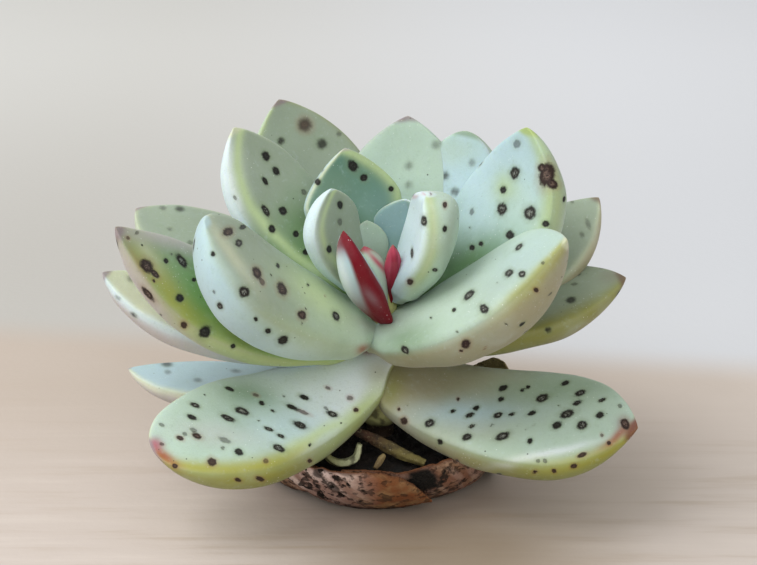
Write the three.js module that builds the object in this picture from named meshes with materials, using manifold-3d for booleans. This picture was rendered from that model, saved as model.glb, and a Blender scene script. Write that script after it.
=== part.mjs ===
// A potted rosette succulent: thick spotted leaves on a short stem, in a cup of curved bark.
// Millimetres, +Z up. The origin is the middle of the cup's flat underside.
// A turn is a direction seen from above in degrees: 0 is right, 90 away from the viewer,
// 180 left and 270 towards the viewer.

import * as THREE from 'three';
import Module from 'manifold-3d';

const wasm = await Module();
wasm.setup();

// Driving dimensions
const GAP = 0.3; // between pieces that touch
const SLIVER = 0.03; // detail finer than this is dropped after a cut
const STEM = { foot: 5, collar: 12, swell: 15, waist: 28, top: 41.5, thin: 2.6, thick: 5, high: 3.2 };
const LEAF_SIDES = 16;
const LEAF_RINGS = 9;
const LEAF_SPREAD = 1.25; // above 1, rings gather towards the tip
const BARK = { thick: 1.8, foot: [19, 10.8], flare: [3, 8.7], height: 14 };
const FLOOR = { thick: 2.4, bevel: 1 };
const SOIL = { top: 8, mound: 1.2, sides: 28 };

// Leaves, the ones that keep their whole shape first. bow bends the leaf outwards at a third
// and at two thirds of its length, sway bends it sideways, and roll turns its face about its
// length. neck is the width of its foot as a share of the blade, and rootTurn and rootOut say
// where its foot is. The blade is widest at the share peak. Beyond it the outline narrows more
// suddenly with a larger point or a smaller blunt, and the thickness with a larger full. puff is
// the share of the thickness that lies above the midline, dish hollows the upper face, and keel
// raises a ridge along the underside.
const LEAVES = [
  { name: 'leaf_low_front_left', turn: 212, rootTurn: 264, root: 26.3, reach: 45.5, height: 17.3,
    bow: [5.4, 0.8], wide: 23, thick: 10.5, roll: 18, neck: 0.55, blunt: 0.52 },
  { name: 'leaf_low_front_right', turn: 336, rootTurn: 262, root: 24.5, reach: 48.5, height: 19.5,
    bow: [6.3, 1.1], wide: 23, thick: 10.5, roll: -20, neck: 0.6, peak: 0.68 },
  { name: 'leaf_middle_front_right', turn: 333, rootTurn: 240, rootOut: 3.4, root: 30,
    reach: 35, height: 52.5, bow: [3.6, 0.6], wide: 26, thick: 12, roll: -16, neck: 0.42,
    puff: 0.28, dish: 0.2 },
  { name: 'leaf_middle_front_left', turn: 205, rootTurn: 245, root: 30.5, reach: 32.5, height: 55,
    bow: [3, 3.6], wide: 25.5, thick: 13, roll: 20, neck: 0.45, blunt: 0.62, peak: 0.66,
    puff: 0.32, dish: 0.2 },
  { name: 'leaf_heart_red', turn: 222, rootTurn: 290, rootOut: 3.4, root: 32, reach: 8.5,
    height: 50.5, bow: [0.8, 2.2], wide: 5.8, thick: 5.2, roll: -80, peak: 0.45, keel: 0.5 },
  { name: 'leaf_inner_right', turn: 345, root: 36, reach: 8.5, height: 56,
    bow: [1, 1.5], wide: 16, thick: 9, roll: -25, blunt: 0.48, full: 12, puff: 0.38 },
  { name: 'leaf_inner_left', turn: 176, root: 37, reach: 8.5, height: 56,
    bow: [1.5, 1.5], wide: 15, thick: 5.6, roll: 25 },
  { name: 'leaf_heart_red_right', turn: 330, root: 35, rootOut: 2, reach: 2.6, height: 46.3,
    bow: [0, 0.3], wide: 3, thick: 2.2, roll: 50, keel: 0.5 },
  { name: 'leaf_heart_red_left', turn: 185, rootTurn: 300, rootOut: 1.8, root: 34, reach: 2.8,
    height: 45.6, bow: [0, 0.3], wide: 5.6, thick: 3, roll: -95, keel: 0.5 },
  { name: 'leaf_heart_left', turn: 178, root: 36, reach: 7, height: 47.4,
    bow: [0.5, 0.8], wide: 6.5, thick: 3.4, roll: 10 },
  { name: 'leaf_heart_back', turn: 110, root: 37, reach: 7, height: 48,
    bow: [0.5, 0.5], wide: 7.4, thick: 3, roll: 0 },
  { name: 'leaf_inner_back_right', turn: 55, root: 37, reach: 8, height: 52,
    bow: [1.5, 2], wide: 14, thick: 5, roll: 0 },
  { name: 'leaf_inner_back', turn: 116, root: 36, reach: 14.5, height: 59.5,
    bow: [1.5, 2], sway: -0.6, wide: 18.5, thick: 6, roll: 0, point: 1.5 },
  { name: 'leaf_high_right', turn: 13, root: 33, reach: 26.5, height: 65.5,
    bow: [5, 7], wide: 25.5, thick: 9, roll: -18, blunt: 0.8 },
  { name: 'leaf_high_left', turn: 151.4, root: 33, reach: 30, height: 63,
    bow: [2, 2.5], sway: -1, wide: 18, thick: 8.5, roll: 17 },
  { name: 'leaf_high_back_left', turn: 121, root: 31, reach: 37.2, height: 63.3,
    bow: [3, 4], sway: -2, wide: 25, thick: 8.5, roll: 0 },
  { name: 'leaf_high_back_right', turn: 53, root: 32, reach: 26.8, height: 60.2,
    bow: [4, 5], wide: 20, thick: 8, roll: 0, blunt: 0.6 },
  { name: 'leaf_high_back', turn: 79, root: 31, reach: 27.5, height: 61.5,
    bow: [3, 4], wide: 22, thick: 8.5, roll: 0 },
  { name: 'leaf_middle_left', turn: 190, root: 27, reach: 46, height: 52,
    bow: [4.5, 3.2], wide: 19.5, thick: 8, roll: 26, point: 1.7, peak: 0.54 },
  { name: 'leaf_middle_right', turn: 5, root: 27, reach: 44.5, height: 38,
    bow: [0.5, -1], wide: 18.5, thick: 8, roll: -12 },
  { name: 'leaf_middle_back_left', turn: 156, root: 28, reach: 50, height: 45.5,
    bow: [0, -0.6], wide: 25, thick: 8, roll: 5 },
  { name: 'leaf_middle_back_right', turn: 22, root: 28, reach: 43.5, height: 49,
    bow: [3, 2.6], wide: 18, thick: 8, roll: -16 },
  { name: 'leaf_middle_back', turn: 88, root: 27, reach: 41, height: 46,
    bow: [3, 4], wide: 21, thick: 8, roll: 0 },
  { name: 'leaf_side_left', turn: 174, root: 25, reach: 50.5, height: 38.5,
    bow: [1.5, 2], wide: 20, thick: 7.5, roll: 4 },
  { name: 'leaf_low_left', turn: 166, root: 20, reach: 49, height: 16.5,
    bow: [1, 2], wide: 17, thick: 6, roll: -3 },
  { name: 'leaf_low_back', turn: 92, root: 19, reach: 43, height: 23,
    bow: [2, 3], wide: 21, thick: 9, roll: 0 },
  { name: 'leaf_low_back_right', turn: 52, root: 23, reach: 44, height: 36,
    bow: [2, 3], wide: 20, thick: 8.5, roll: 0 },
  { name: 'leaf_low_back_left', turn: 126, root: 23, reach: 43, height: 34,
    bow: [2, 3], wide: 20, thick: 8.5, roll: 0 },
];

// Bark pieces of the cup: each row of the outline is a turn with the piece's low and high edge
// there. Layer 0 lies against the floor and the soil, layer 1 lies over layer 0.
const BARK_PIECES = [
  { name: 'bark_front', layer: 1,
    outline: [[220, 8, 10.4], [230, 5, 11.4], [242, 2, 11.9], [256, 0.2, 12], [270, 0, 11.8],
      [282, 0.5, 9.6], [294, 2, 3]] },
  { name: 'bark_right', layer: 0,
    outline: [[252, 6, 10.5], [266, 0.8, 10.8], [278, 0, 10.6], [289, 0, 11.2], [300, 0.6, 12],
      [320, 1.5, 12.2], [338, 2.2, 11.6], [348, 3.4, 10], [356, 5, 7.5]] },
  { name: 'bark_left', layer: 0,
    outline: [[172, 4, 7], [188, 1, 9.6], [206, 0.4, 11.4], [224, 1.2, 11.4], [240, 2.2, 10.2],
      [250, 4, 7]] },
  { name: 'bark_back_left', layer: 1,
    outline: [[108, 4, 7], [126, 1, 10.5], [146, 0, 12.8], [164, 0, 12.8], [184, 1, 10.5],
      [200, 4, 6.5]] },
  { name: 'bark_back', layer: 0,
    outline: [[46, 5, 9], [62, 1, 12.6], [84, 0, 13.6], [106, 0, 13.2], [128, 0, 10.8],
      [148, 3, 6]] },
  { name: 'bark_back_right', layer: 1,
    outline: [[344, 5, 8], [356, 1, 13.4], [368, 0, 19.2], [386, 0, 19.8], [406, 1, 15],
      [430, 4, 7]] },
];

// Dry bits that lie in the cup: a route of points, and the width and height of the section.
const STALKS = [
  { name: 'dry_stalk_long', points: [[-5.2, -8.4, 13.8], [-0.6, -10.6, 12.6], [3.6, -12.6, 11.1],
    [8, -13.6, 9.6]], wide: 2.2, high: 1.7 },
  { name: 'dry_stalk_short', points: [[0.7, -12.9, 10.8], [0, -13.9, 10.2], [-0.9, -15.2, 9.4]],
    wide: 1.2, high: 1.2 },
  { name: 'dry_husk_curl', points: [[-9.6, -12.2, 12.6], [-9.2, -13.2, 10.6], [-7, -13.8, 9.7],
    [-4.4, -13.8, 10.6], [-3.6, -13.4, 13.2]], wide: 1.4, high: 3 },
];

const COLOURS = {
  leaf: new THREE.MeshStandardMaterial({ color: 0xb4cbb8, roughness: 0.62 }),
  youngLeaf: new THREE.MeshStandardMaterial({ color: 0xa83a4c, roughness: 0.55 }),
  stem: new THREE.MeshStandardMaterial({ color: 0x8d8a5c, roughness: 0.8 }),
  bark: new THREE.MeshStandardMaterial({ color: 0x9a6242, roughness: 0.85 }),
  soil: new THREE.MeshStandardMaterial({ color: 0x2b221c, roughness: 0.95 }),
  stalk: new THREE.MeshStandardMaterial({ color: 0x8a6f4a, roughness: 0.8 }),
};

// A smooth step from 0 at a to 1 at b.
function ease(a, b, t) {
  const s = Math.min(Math.max((t - a) / (b - a), 0), 1);
  return s * s * (3 - 2 * s);
}

function fromTurn(turn, radius, height) {
  const angle = THREE.MathUtils.degToRad(turn);
  return new THREE.Vector3(Math.cos(angle) * radius, Math.sin(angle) * radius, height);
}

// A solid through a row of rings, closed at each end by a fan to that end's own point. Each ring
// runs anticlockwise about the way that the row goes.
function loft(rings, first, last) {
  const sides = rings[0].length;
  const points = [...rings.flat(), first, last];
  const firstIndex = points.length - 2;
  const lastIndex = points.length - 1;
  const lastRing = (rings.length - 1) * sides;
  const triangles = [];
  for (let j = 0; j < sides; j += 1) {
    const next = (j + 1) % sides;
    triangles.push(firstIndex, next, j);
    triangles.push(lastRing + j, lastRing + next, lastIndex);
    for (let i = 0; i < rings.length - 1; i += 1) {
      const here = i * sides;
      const ahead = here + sides;
      triangles.push(here + j, here + next, ahead + next);
      triangles.push(here + j, ahead + next, ahead + j);
    }
  }
  return new wasm.Manifold(new wasm.Mesh({
    numProp: 3,
    vertProperties: new Float32Array(points.flatMap((point) => point.toArray())),
    triVerts: new Uint32Array(triangles),
  }));
}

// A solid whose sections at rising heights are rings about the Z axis. Each row holds a height
// and a function that gives the ring's point at a turn.
function stacked(rows, sides) {
  const rings = rows.map(([height, point]) => (
    Array.from({ length: sides }, (_, j) => point((360 * j) / sides, height))));
  const bottom = new THREE.Vector3(0, 0, rows[0][0]);
  const top = new THREE.Vector3(0, 0, rows[rows.length - 1][0]);
  return loft(rings, bottom, top);
}

// One leaf: a Bezier midline from inside the stem to the tip, and across it a section with full
// round margins, shallow or hollow above, deep and round below, and widest past the middle of
// its length. grow makes the leaf larger all round, to cut its neighbours clear of it.
function leafSolid(leaf, grow = 0) {
  const { rootOut = 2.6, neck = 0.34, sway = 0, keel = 0, puff = 0.22, dish = 0.65 } = leaf;
  const { peak = 0.62, point = 2, blunt = 0.85, full = 2.4 } = leaf;
  const start = fromTurn(leaf.rootTurn ?? leaf.turn, rootOut, leaf.root);
  const end = fromTurn(leaf.turn, leaf.reach, leaf.height);
  const chord = end.clone().sub(start);
  const along = chord.clone().normalize();
  const side = fromTurn(leaf.turn + 90, 1, 0);
  side.addScaledVector(along, -side.dot(along)).normalize();
  const face = along.clone().cross(side);
  if (face.z < 0) face.negate();
  const handle = (share, bow) => start.clone()
    .addScaledVector(chord, share)
    .addScaledVector(face, -bow * 1.4)
    .addScaledVector(side, sway * 1.4);
  const midline = new THREE.CubicBezierCurve3(
    start, handle(0.34, leaf.bow[0]), handle(0.7, leaf.bow[1]), end);
  const roll = THREE.MathUtils.degToRad(leaf.roll);
  const rings = [];
  for (let i = 0; i < LEAF_RINGS; i += 1) {
    const t = 1 - (1 - i / LEAF_RINGS) ** LEAF_SPREAD;
    const middle = midline.getPoint(t);
    const tangent = midline.getTangent(t);
    const flat = face.clone().addScaledVector(tangent, -face.dot(tangent)).normalize();
    const across = flat.clone().cross(tangent);
    const up = flat.clone().multiplyScalar(Math.cos(roll)).addScaledVector(across, Math.sin(roll));
    const out = across.multiplyScalar(Math.cos(roll)).addScaledVector(flat, -Math.sin(roll));
    const taper = Math.max((t - peak) / (1 - peak), 0);
    const rise = neck + (1 - neck) * ease(-0.12, peak, t);
    const foot = 0.62 + 0.38 * ease(0, 0.12, t);
    const half = (leaf.wide / 2) * rise * foot * (1 - taper ** point) ** blunt + grow;
    const thin = (1 - Math.max((t - 0.55) / 0.45, 0) ** full) ** 0.8;
    const deep = leaf.thick * (0.62 + 0.38 * ease(0, 0.45, t)) * foot * thin;
    const hollow = dish * ease(0.1, 0.5, t);
    const bulge = 0.16 * ease(0.05, 0.4, t);
    const ring = [];
    for (let j = 0; j < LEAF_SIDES; j += 1) {
      const angle = (2 * Math.PI * j) / LEAF_SIDES;
      const sine = Math.sin(angle);
      const size = Math.abs(sine);
      const wider = sine < 0 ? 1 + bulge * size ** 0.8 : 1;
      const above = (deep * puff * (1 - hollow * sine * sine) + grow) * size ** 0.8;
      const ridge = 1 + keel * Math.max(size - 0.7, 0) / 0.3;
      const below = (deep * (1 - puff) * ridge + grow) * size ** 0.95;
      ring.push(middle.clone()
        .addScaledVector(out, half * Math.cos(angle) * wider)
        .addScaledVector(up, sine > 0 ? above : -below));
    }
    rings.push(ring);
  }
  return loft(rings, start, end.clone().addScaledVector(midline.getTangent(1), grow));
}

// The stem: a thin foot in the soil, a swollen collar under the lowest leaves, and above it a
// stalk that narrows into the heart of the rosette.
function stemSolid(grow = 0) {
  const { foot, collar, swell, waist, top, thin, thick, high } = STEM;
  const profile = [
    [foot - grow, thin * 0.8],
    [foot + 2, thin],
    [collar - 1.2, thin],
    [collar + 0.6, thick * 0.86],
    [swell, thick],
    [swell + 5, thick * 0.92],
    [waist, high],
    [waist + 8, high * 0.94],
    [top - 1.2 + grow, high * 0.5],
    [top + grow, high * 0.1],
  ];
  return stacked(profile.map(([height, radius]) => (
    [height, (turn) => fromTurn(turn, radius + grow, height)])), 18);
}

// A point of the bark wall: an oval bowl that flares and then stands nearly upright. offset moves
// it outwards from the middle of the wall's inner layer.
function wallPoint(turn, height, offset) {
  const rise = Math.sin((Math.min(Math.max(height, 0) / BARK.height, 1) * Math.PI) / 2);
  const [wide, deep] = BARK.foot.map((foot, k) => foot + BARK.flare[k] * rise + offset);
  const angle = THREE.MathUtils.degToRad(turn);
  return new THREE.Vector3(Math.cos(angle) * wide, Math.sin(angle) * deep, height);
}

// One bark piece: its section runs up the outside of the wall and down the inside, with thinned
// edges, and is carried round the cup along the outline.
function barkSolid({ outline, layer }) {
  const steps = 3;
  const turns = 16;
  const curve = new THREE.CatmullRomCurve3(outline.map((row) => new THREE.Vector3(...row)));
  const section = (share) => {
    const [turn, low, high] = curve.getPoint(share).toArray();
    const outside = [];
    const inside = [];
    for (let k = 0; k <= steps; k += 1) {
      const height = low + ((high - low) * k) / steps;
      const edge = 0.55 + 0.45 * Math.sin((Math.PI * k) / steps);
      const half = (BARK.thick / 2) * edge;
      outside.push(wallPoint(turn, height, layer * (BARK.thick + GAP) + half));
      inside.unshift(wallPoint(turn, height, layer * (BARK.thick + GAP) - half));
    }
    return [...outside, ...inside].reverse();
  };
  const rings = Array.from({ length: turns + 1 }, (_, i) => section(i / turns));
  const centre = (ring) => ring.reduce((sum, point) => sum.add(point), new THREE.Vector3())
    .divideScalar(ring.length);
  return loft(rings, centre(rings[0]), centre(rings[turns]));
}

// The flat oval piece of bark that everything stands on.
function floorSolid() {
  const rim = -BARK.thick / 2 - GAP;
  const ring = (offset) => (turn, height) => wallPoint(turn, 0, offset).setZ(height);
  return stacked([
    [0, ring(rim - FLOOR.bevel)],
    [FLOOR.bevel, ring(rim)],
    [FLOOR.thick, ring(rim)],
  ], SOIL.sides);
}

// Soil up to near the rim, higher round the stem, clear of the bark wall.
function soilSolid() {
  const low = FLOOR.thick + GAP;
  const wall = (turn, height) => wallPoint(turn, height, -BARK.thick / 2 - GAP);
  const inside = (share) => (turn, height) => wall(turn, SOIL.top).multiplyScalar(share)
    .setZ(height);
  return stacked([
    [low, wall],
    [low + 2, wall],
    [SOIL.top - 0.8, wall],
    [SOIL.top, inside(0.97)],
    [SOIL.top + SOIL.mound * 0.6, inside(0.6)],
    [SOIL.top + SOIL.mound, inside(0.2)],
  ], SOIL.sides);
}

// A dry stalk or husk: an eight-sided section carried along its route, thinner at both ends.
function stalkSolid({ points, wide, high }, grow = 0) {
  const sides = 8;
  const steps = 12;
  const curve = new THREE.CatmullRomCurve3(points.map((point) => new THREE.Vector3(...point)));
  const rings = Array.from({ length: steps + 1 }, (_, i) => {
    const share = i / steps;
    const middle = curve.getPoint(share);
    const tangent = curve.getTangent(share);
    const across = tangent.clone().cross(new THREE.Vector3(0.2, -1, 0.3)).normalize();
    const up = tangent.clone().cross(across);
    const taper = 0.6 + 0.4 * Math.sin(Math.PI * share);
    return Array.from({ length: sides }, (_, j) => {
      const angle = (2 * Math.PI * j) / sides;
      return middle.clone()
        .addScaledVector(across, ((wide / 2) * taper + grow) * Math.cos(angle))
        .addScaledVector(up, ((high / 2) * taper + grow) * Math.sin(angle));
    });
  });
  return loft(rings, curve.getPoint(0), curve.getPoint(1));
}

// The largest piece of a solid, without the scraps and the slivers that a cut leaves.
function largest(solid) {
  return solid.decompose().sort((a, b) => b.volume() - a.volume())[0].simplify(SLIVER);
}

function mesh(name, solid, material) {
  const { vertProperties, triVerts } = solid.getMesh();
  const geometry = new THREE.BufferGeometry();
  geometry.setAttribute('position', new THREE.BufferAttribute(vertProperties, 3));
  geometry.setIndex(new THREE.BufferAttribute(triVerts, 1));
  geometry.computeVertexNormals();
  const result = new THREE.Mesh(geometry, material);
  result.name = name;
  return result;
}

// Each piece is cut clear of the stem and of all the pieces before it.
function clearOf(solid, others) {
  return largest(others.reduce((left, other) => left.subtract(other), solid));
}

const plant = new THREE.Group();
const stemRoom = stemSolid(GAP);
plant.add(mesh('stem', stemSolid(), COLOURS.stem));

const rooms = [stemRoom];
for (const leaf of LEAVES) {
  const colour = leaf.keel ? COLOURS.youngLeaf : COLOURS.leaf;
  plant.add(mesh(leaf.name, clearOf(leafSolid(leaf), rooms), colour));
  rooms.push(leafSolid(leaf, GAP));
}

plant.add(mesh('cup_floor', floorSolid(), COLOURS.bark));
for (const piece of BARK_PIECES) {
  plant.add(mesh(piece.name, clearOf(barkSolid(piece), rooms), COLOURS.bark));
}
const stalkRooms = [];
for (const stalk of STALKS) {
  plant.add(mesh(stalk.name, clearOf(stalkSolid(stalk), [...rooms, ...stalkRooms]), COLOURS.stalk));
  stalkRooms.push(stalkSolid(stalk, GAP));
}
plant.add(mesh('soil', clearOf(soilSolid(), [stemRoom, ...stalkRooms]), COLOURS.soil));

export default plant;
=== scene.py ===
# Dresses a potted rosette succulent: thick spotted leaves with a waxy bloom, yellow margins and
# red tips, a red-keeled heart, a cup of pitted bark, dark soil and dry stalks.
# Tables and shapes are in millimetres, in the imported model's frame, and meshes are in metres.
# A turn is a direction seen from above in degrees: 0 is right, 90 away from the viewer.

import math

import bpy
import numpy as np
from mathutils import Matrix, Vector


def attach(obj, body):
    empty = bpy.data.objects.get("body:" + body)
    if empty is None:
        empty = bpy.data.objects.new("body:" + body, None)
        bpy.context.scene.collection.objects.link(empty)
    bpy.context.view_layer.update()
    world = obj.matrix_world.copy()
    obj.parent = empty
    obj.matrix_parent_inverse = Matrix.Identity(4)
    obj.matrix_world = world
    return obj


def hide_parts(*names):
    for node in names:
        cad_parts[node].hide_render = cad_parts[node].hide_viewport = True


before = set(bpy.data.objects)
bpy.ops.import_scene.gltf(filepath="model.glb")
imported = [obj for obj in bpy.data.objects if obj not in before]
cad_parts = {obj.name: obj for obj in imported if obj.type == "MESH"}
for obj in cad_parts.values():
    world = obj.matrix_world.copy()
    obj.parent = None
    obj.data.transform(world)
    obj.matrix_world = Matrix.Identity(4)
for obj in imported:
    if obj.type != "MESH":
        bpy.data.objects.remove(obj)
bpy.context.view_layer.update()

MM = 0.001
PHOTO = {"wide": 757, "high": 565, "centre": (380, 296), "focal": 1792}
EYE = {"rise": 22, "away": 320, "target": (0, 0, 36)}
PIXELS_PER_MM = 5.6
GAP = 0.3  # between pieces that touch
TAU = 2 * math.pi

# The form of each leaf. The foot starts at root_turn, root_out from the axis and root high, and
# the tip ends at turn, reach from the axis and height high. bow is how far it bends outwards at a
# third and at two thirds of its length, sway how far it bends sideways, and roll its turn round
# its own length in degrees. wide and thick are its widest and thickest section.
LEAVES = {
    "leaf_low_front_left": dict(
        turn=212, root_turn=264, root=26.3, reach=45.5, height=17.3, bow=(5.4, 0.8), wide=23,
        thick=10.5, roll=18, neck=0.55, blunt=0.52),
    "leaf_low_front_right": dict(
        turn=336, root_turn=262, root=24.5, reach=48.5, height=19.5, bow=(6.3, 1.1), wide=23,
        thick=10.5, roll=-20, neck=0.6, peak=0.68),
    "leaf_middle_front_right": dict(
        turn=333, root_turn=240, root_out=3.4, root=30, reach=35, height=52.5, bow=(3.6, 0.6),
        wide=26, thick=12, roll=-16, neck=0.42, puff=0.28, dish=0.2),
    "leaf_middle_front_left": dict(
        turn=205, root_turn=245, root=30.5, reach=32.5, height=55, bow=(3, 3.6), wide=25.5,
        thick=13, roll=20, neck=0.45, blunt=0.62, peak=0.66, puff=0.32, dish=0.2),
    "leaf_heart_red": dict(
        turn=222, root_turn=290, root_out=3.4, root=32, reach=8.5, height=50.5, bow=(0.8, 2.2),
        wide=5.8, thick=5.2, roll=-80, peak=0.45, keel=0.5),
    "leaf_inner_right": dict(
        turn=345, root=36, reach=8.5, height=56, bow=(1, 1.5), wide=16, thick=9, roll=-25,
        blunt=0.48, full=12, puff=0.38),
    "leaf_inner_left": dict(
        turn=176, root=37, reach=8.5, height=56, bow=(1.5, 1.5), wide=15, thick=5.6, roll=25),
    "leaf_heart_red_right": dict(
        turn=330, root=35, root_out=2, reach=2.6, height=46.3, bow=(0, 0.3), wide=3, thick=2.2,
        roll=50, keel=0.5),
    "leaf_heart_red_left": dict(
        turn=185, root_turn=300, root_out=1.8, root=34, reach=2.8, height=45.6, bow=(0, 0.3),
        wide=5.6, thick=3, roll=-95, keel=0.5),
    "leaf_heart_left": dict(
        turn=178, root=36, reach=7, height=47.4, bow=(0.5, 0.8), wide=6.5, thick=3.4, roll=10),
    "leaf_heart_back": dict(
        turn=110, root=37, reach=7, height=48, bow=(0.5, 0.5), wide=7.4, thick=3),
    "leaf_inner_back_right": dict(
        turn=55, root=37, reach=8, height=52, bow=(1.5, 2), wide=14, thick=5),
    "leaf_inner_back": dict(
        turn=116, root=36, reach=14.5, height=59.5, bow=(1.5, 2), sway=-0.6, wide=18.5, thick=6,
        point=1.5),
    "leaf_high_right": dict(
        turn=13, root=33, reach=26.5, height=65.5, bow=(5, 7), wide=25.5, thick=9, roll=-18,
        blunt=0.8),
    "leaf_high_left": dict(
        turn=151.4, root=33, reach=30, height=63, bow=(2, 2.5), sway=-1, wide=18, thick=8.5,
        roll=17),
    "leaf_high_back_left": dict(
        turn=121, root=31, reach=37.2, height=63.3, bow=(3, 4), sway=-2, wide=25, thick=8.5),
    "leaf_high_back_right": dict(
        turn=53, root=32, reach=26.8, height=60.2, bow=(4, 5), wide=20, thick=8, blunt=0.6),
    "leaf_high_back": dict(
        turn=79, root=31, reach=27.5, height=61.5, bow=(3, 4), wide=22, thick=8.5),
    "leaf_middle_left": dict(
        turn=190, root=27, reach=46, height=52, bow=(4.5, 3.2), wide=19.5, thick=8, roll=26,
        point=1.7, peak=0.54),
    "leaf_middle_right": dict(
        turn=5, root=27, reach=44.5, height=38, bow=(0.5, -1), wide=18.5, thick=8, roll=-12),
    "leaf_middle_back_left": dict(
        turn=156, root=28, reach=50, height=45.5, bow=(0, -0.6), wide=25, thick=8, roll=5),
    "leaf_middle_back_right": dict(
        turn=22, root=28, reach=43.5, height=49, bow=(3, 2.6), wide=18, thick=8, roll=-16),
    "leaf_middle_back": dict(
        turn=88, root=27, reach=41, height=46, bow=(3, 4), wide=21, thick=8),
    "leaf_side_left": dict(
        turn=174, root=25, reach=50.5, height=38.5, bow=(1.5, 2), wide=20, thick=7.5, roll=4),
    "leaf_low_left": dict(
        turn=166, root=20, reach=49, height=16.5, bow=(1, 2), wide=17, thick=6, roll=-3),
    "leaf_low_back": dict(
        turn=92, root=19, reach=43, height=23, bow=(2, 3), wide=21, thick=9),
    "leaf_low_back_right": dict(
        turn=52, root=23, reach=44, height=36, bow=(2, 3), wide=20, thick=8.5),
    "leaf_low_back_left": dict(
        turn=126, root=23, reach=43, height=34, bow=(2, 3), wide=20, thick=8.5),
}
# What a leaf has when its row doesn't say: neck is the width of the foot as a share of the widest,
# peak where along the length it is widest, and point, blunt and full how the outline and the
# section close at the tip. puff is the share of the thickness above the midline, dish how hollow
# the upper side is, and keel how much the middle of the back stands out.
USUAL_LEAF = dict(
    root_out=2.6, sway=0, roll=0, neck=0.34, peak=0.62, point=2, blunt=0.85, full=2.4, puff=0.22,
    dish=0.65, keel=0)

# Colours of the leaves, as hexadecimal sRGB.
PALETTE = {
    "mint": "b3c9b8", "pale_mint": "d2e2cf", "ice": "b2ccd2", "frost": "cfe2e6", "milk": "e2ecee",
    "grey_green": "98a692", "sage": "869c82", "teal": "668e7c", "leaf_green": "57853c",
    "fresh_green": "74a850", "moss": "6f8c66", "slate": "8cadb0", "olive": "8b8c44",
    "lime": "a9bb70", "pale_lime": "c2d59f", "yellow": "a29f31", "cream": "cdd2b4",
    "lilac": "bcb6b4", "tan": "a09a7c", "shade": "7f8670", "rust": "9a4722", "brown": "6e5346",
    "mauve": "8f7c84", "crimson": "741322", "rose": "b2465c", "clay": "74332a",
}

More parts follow.
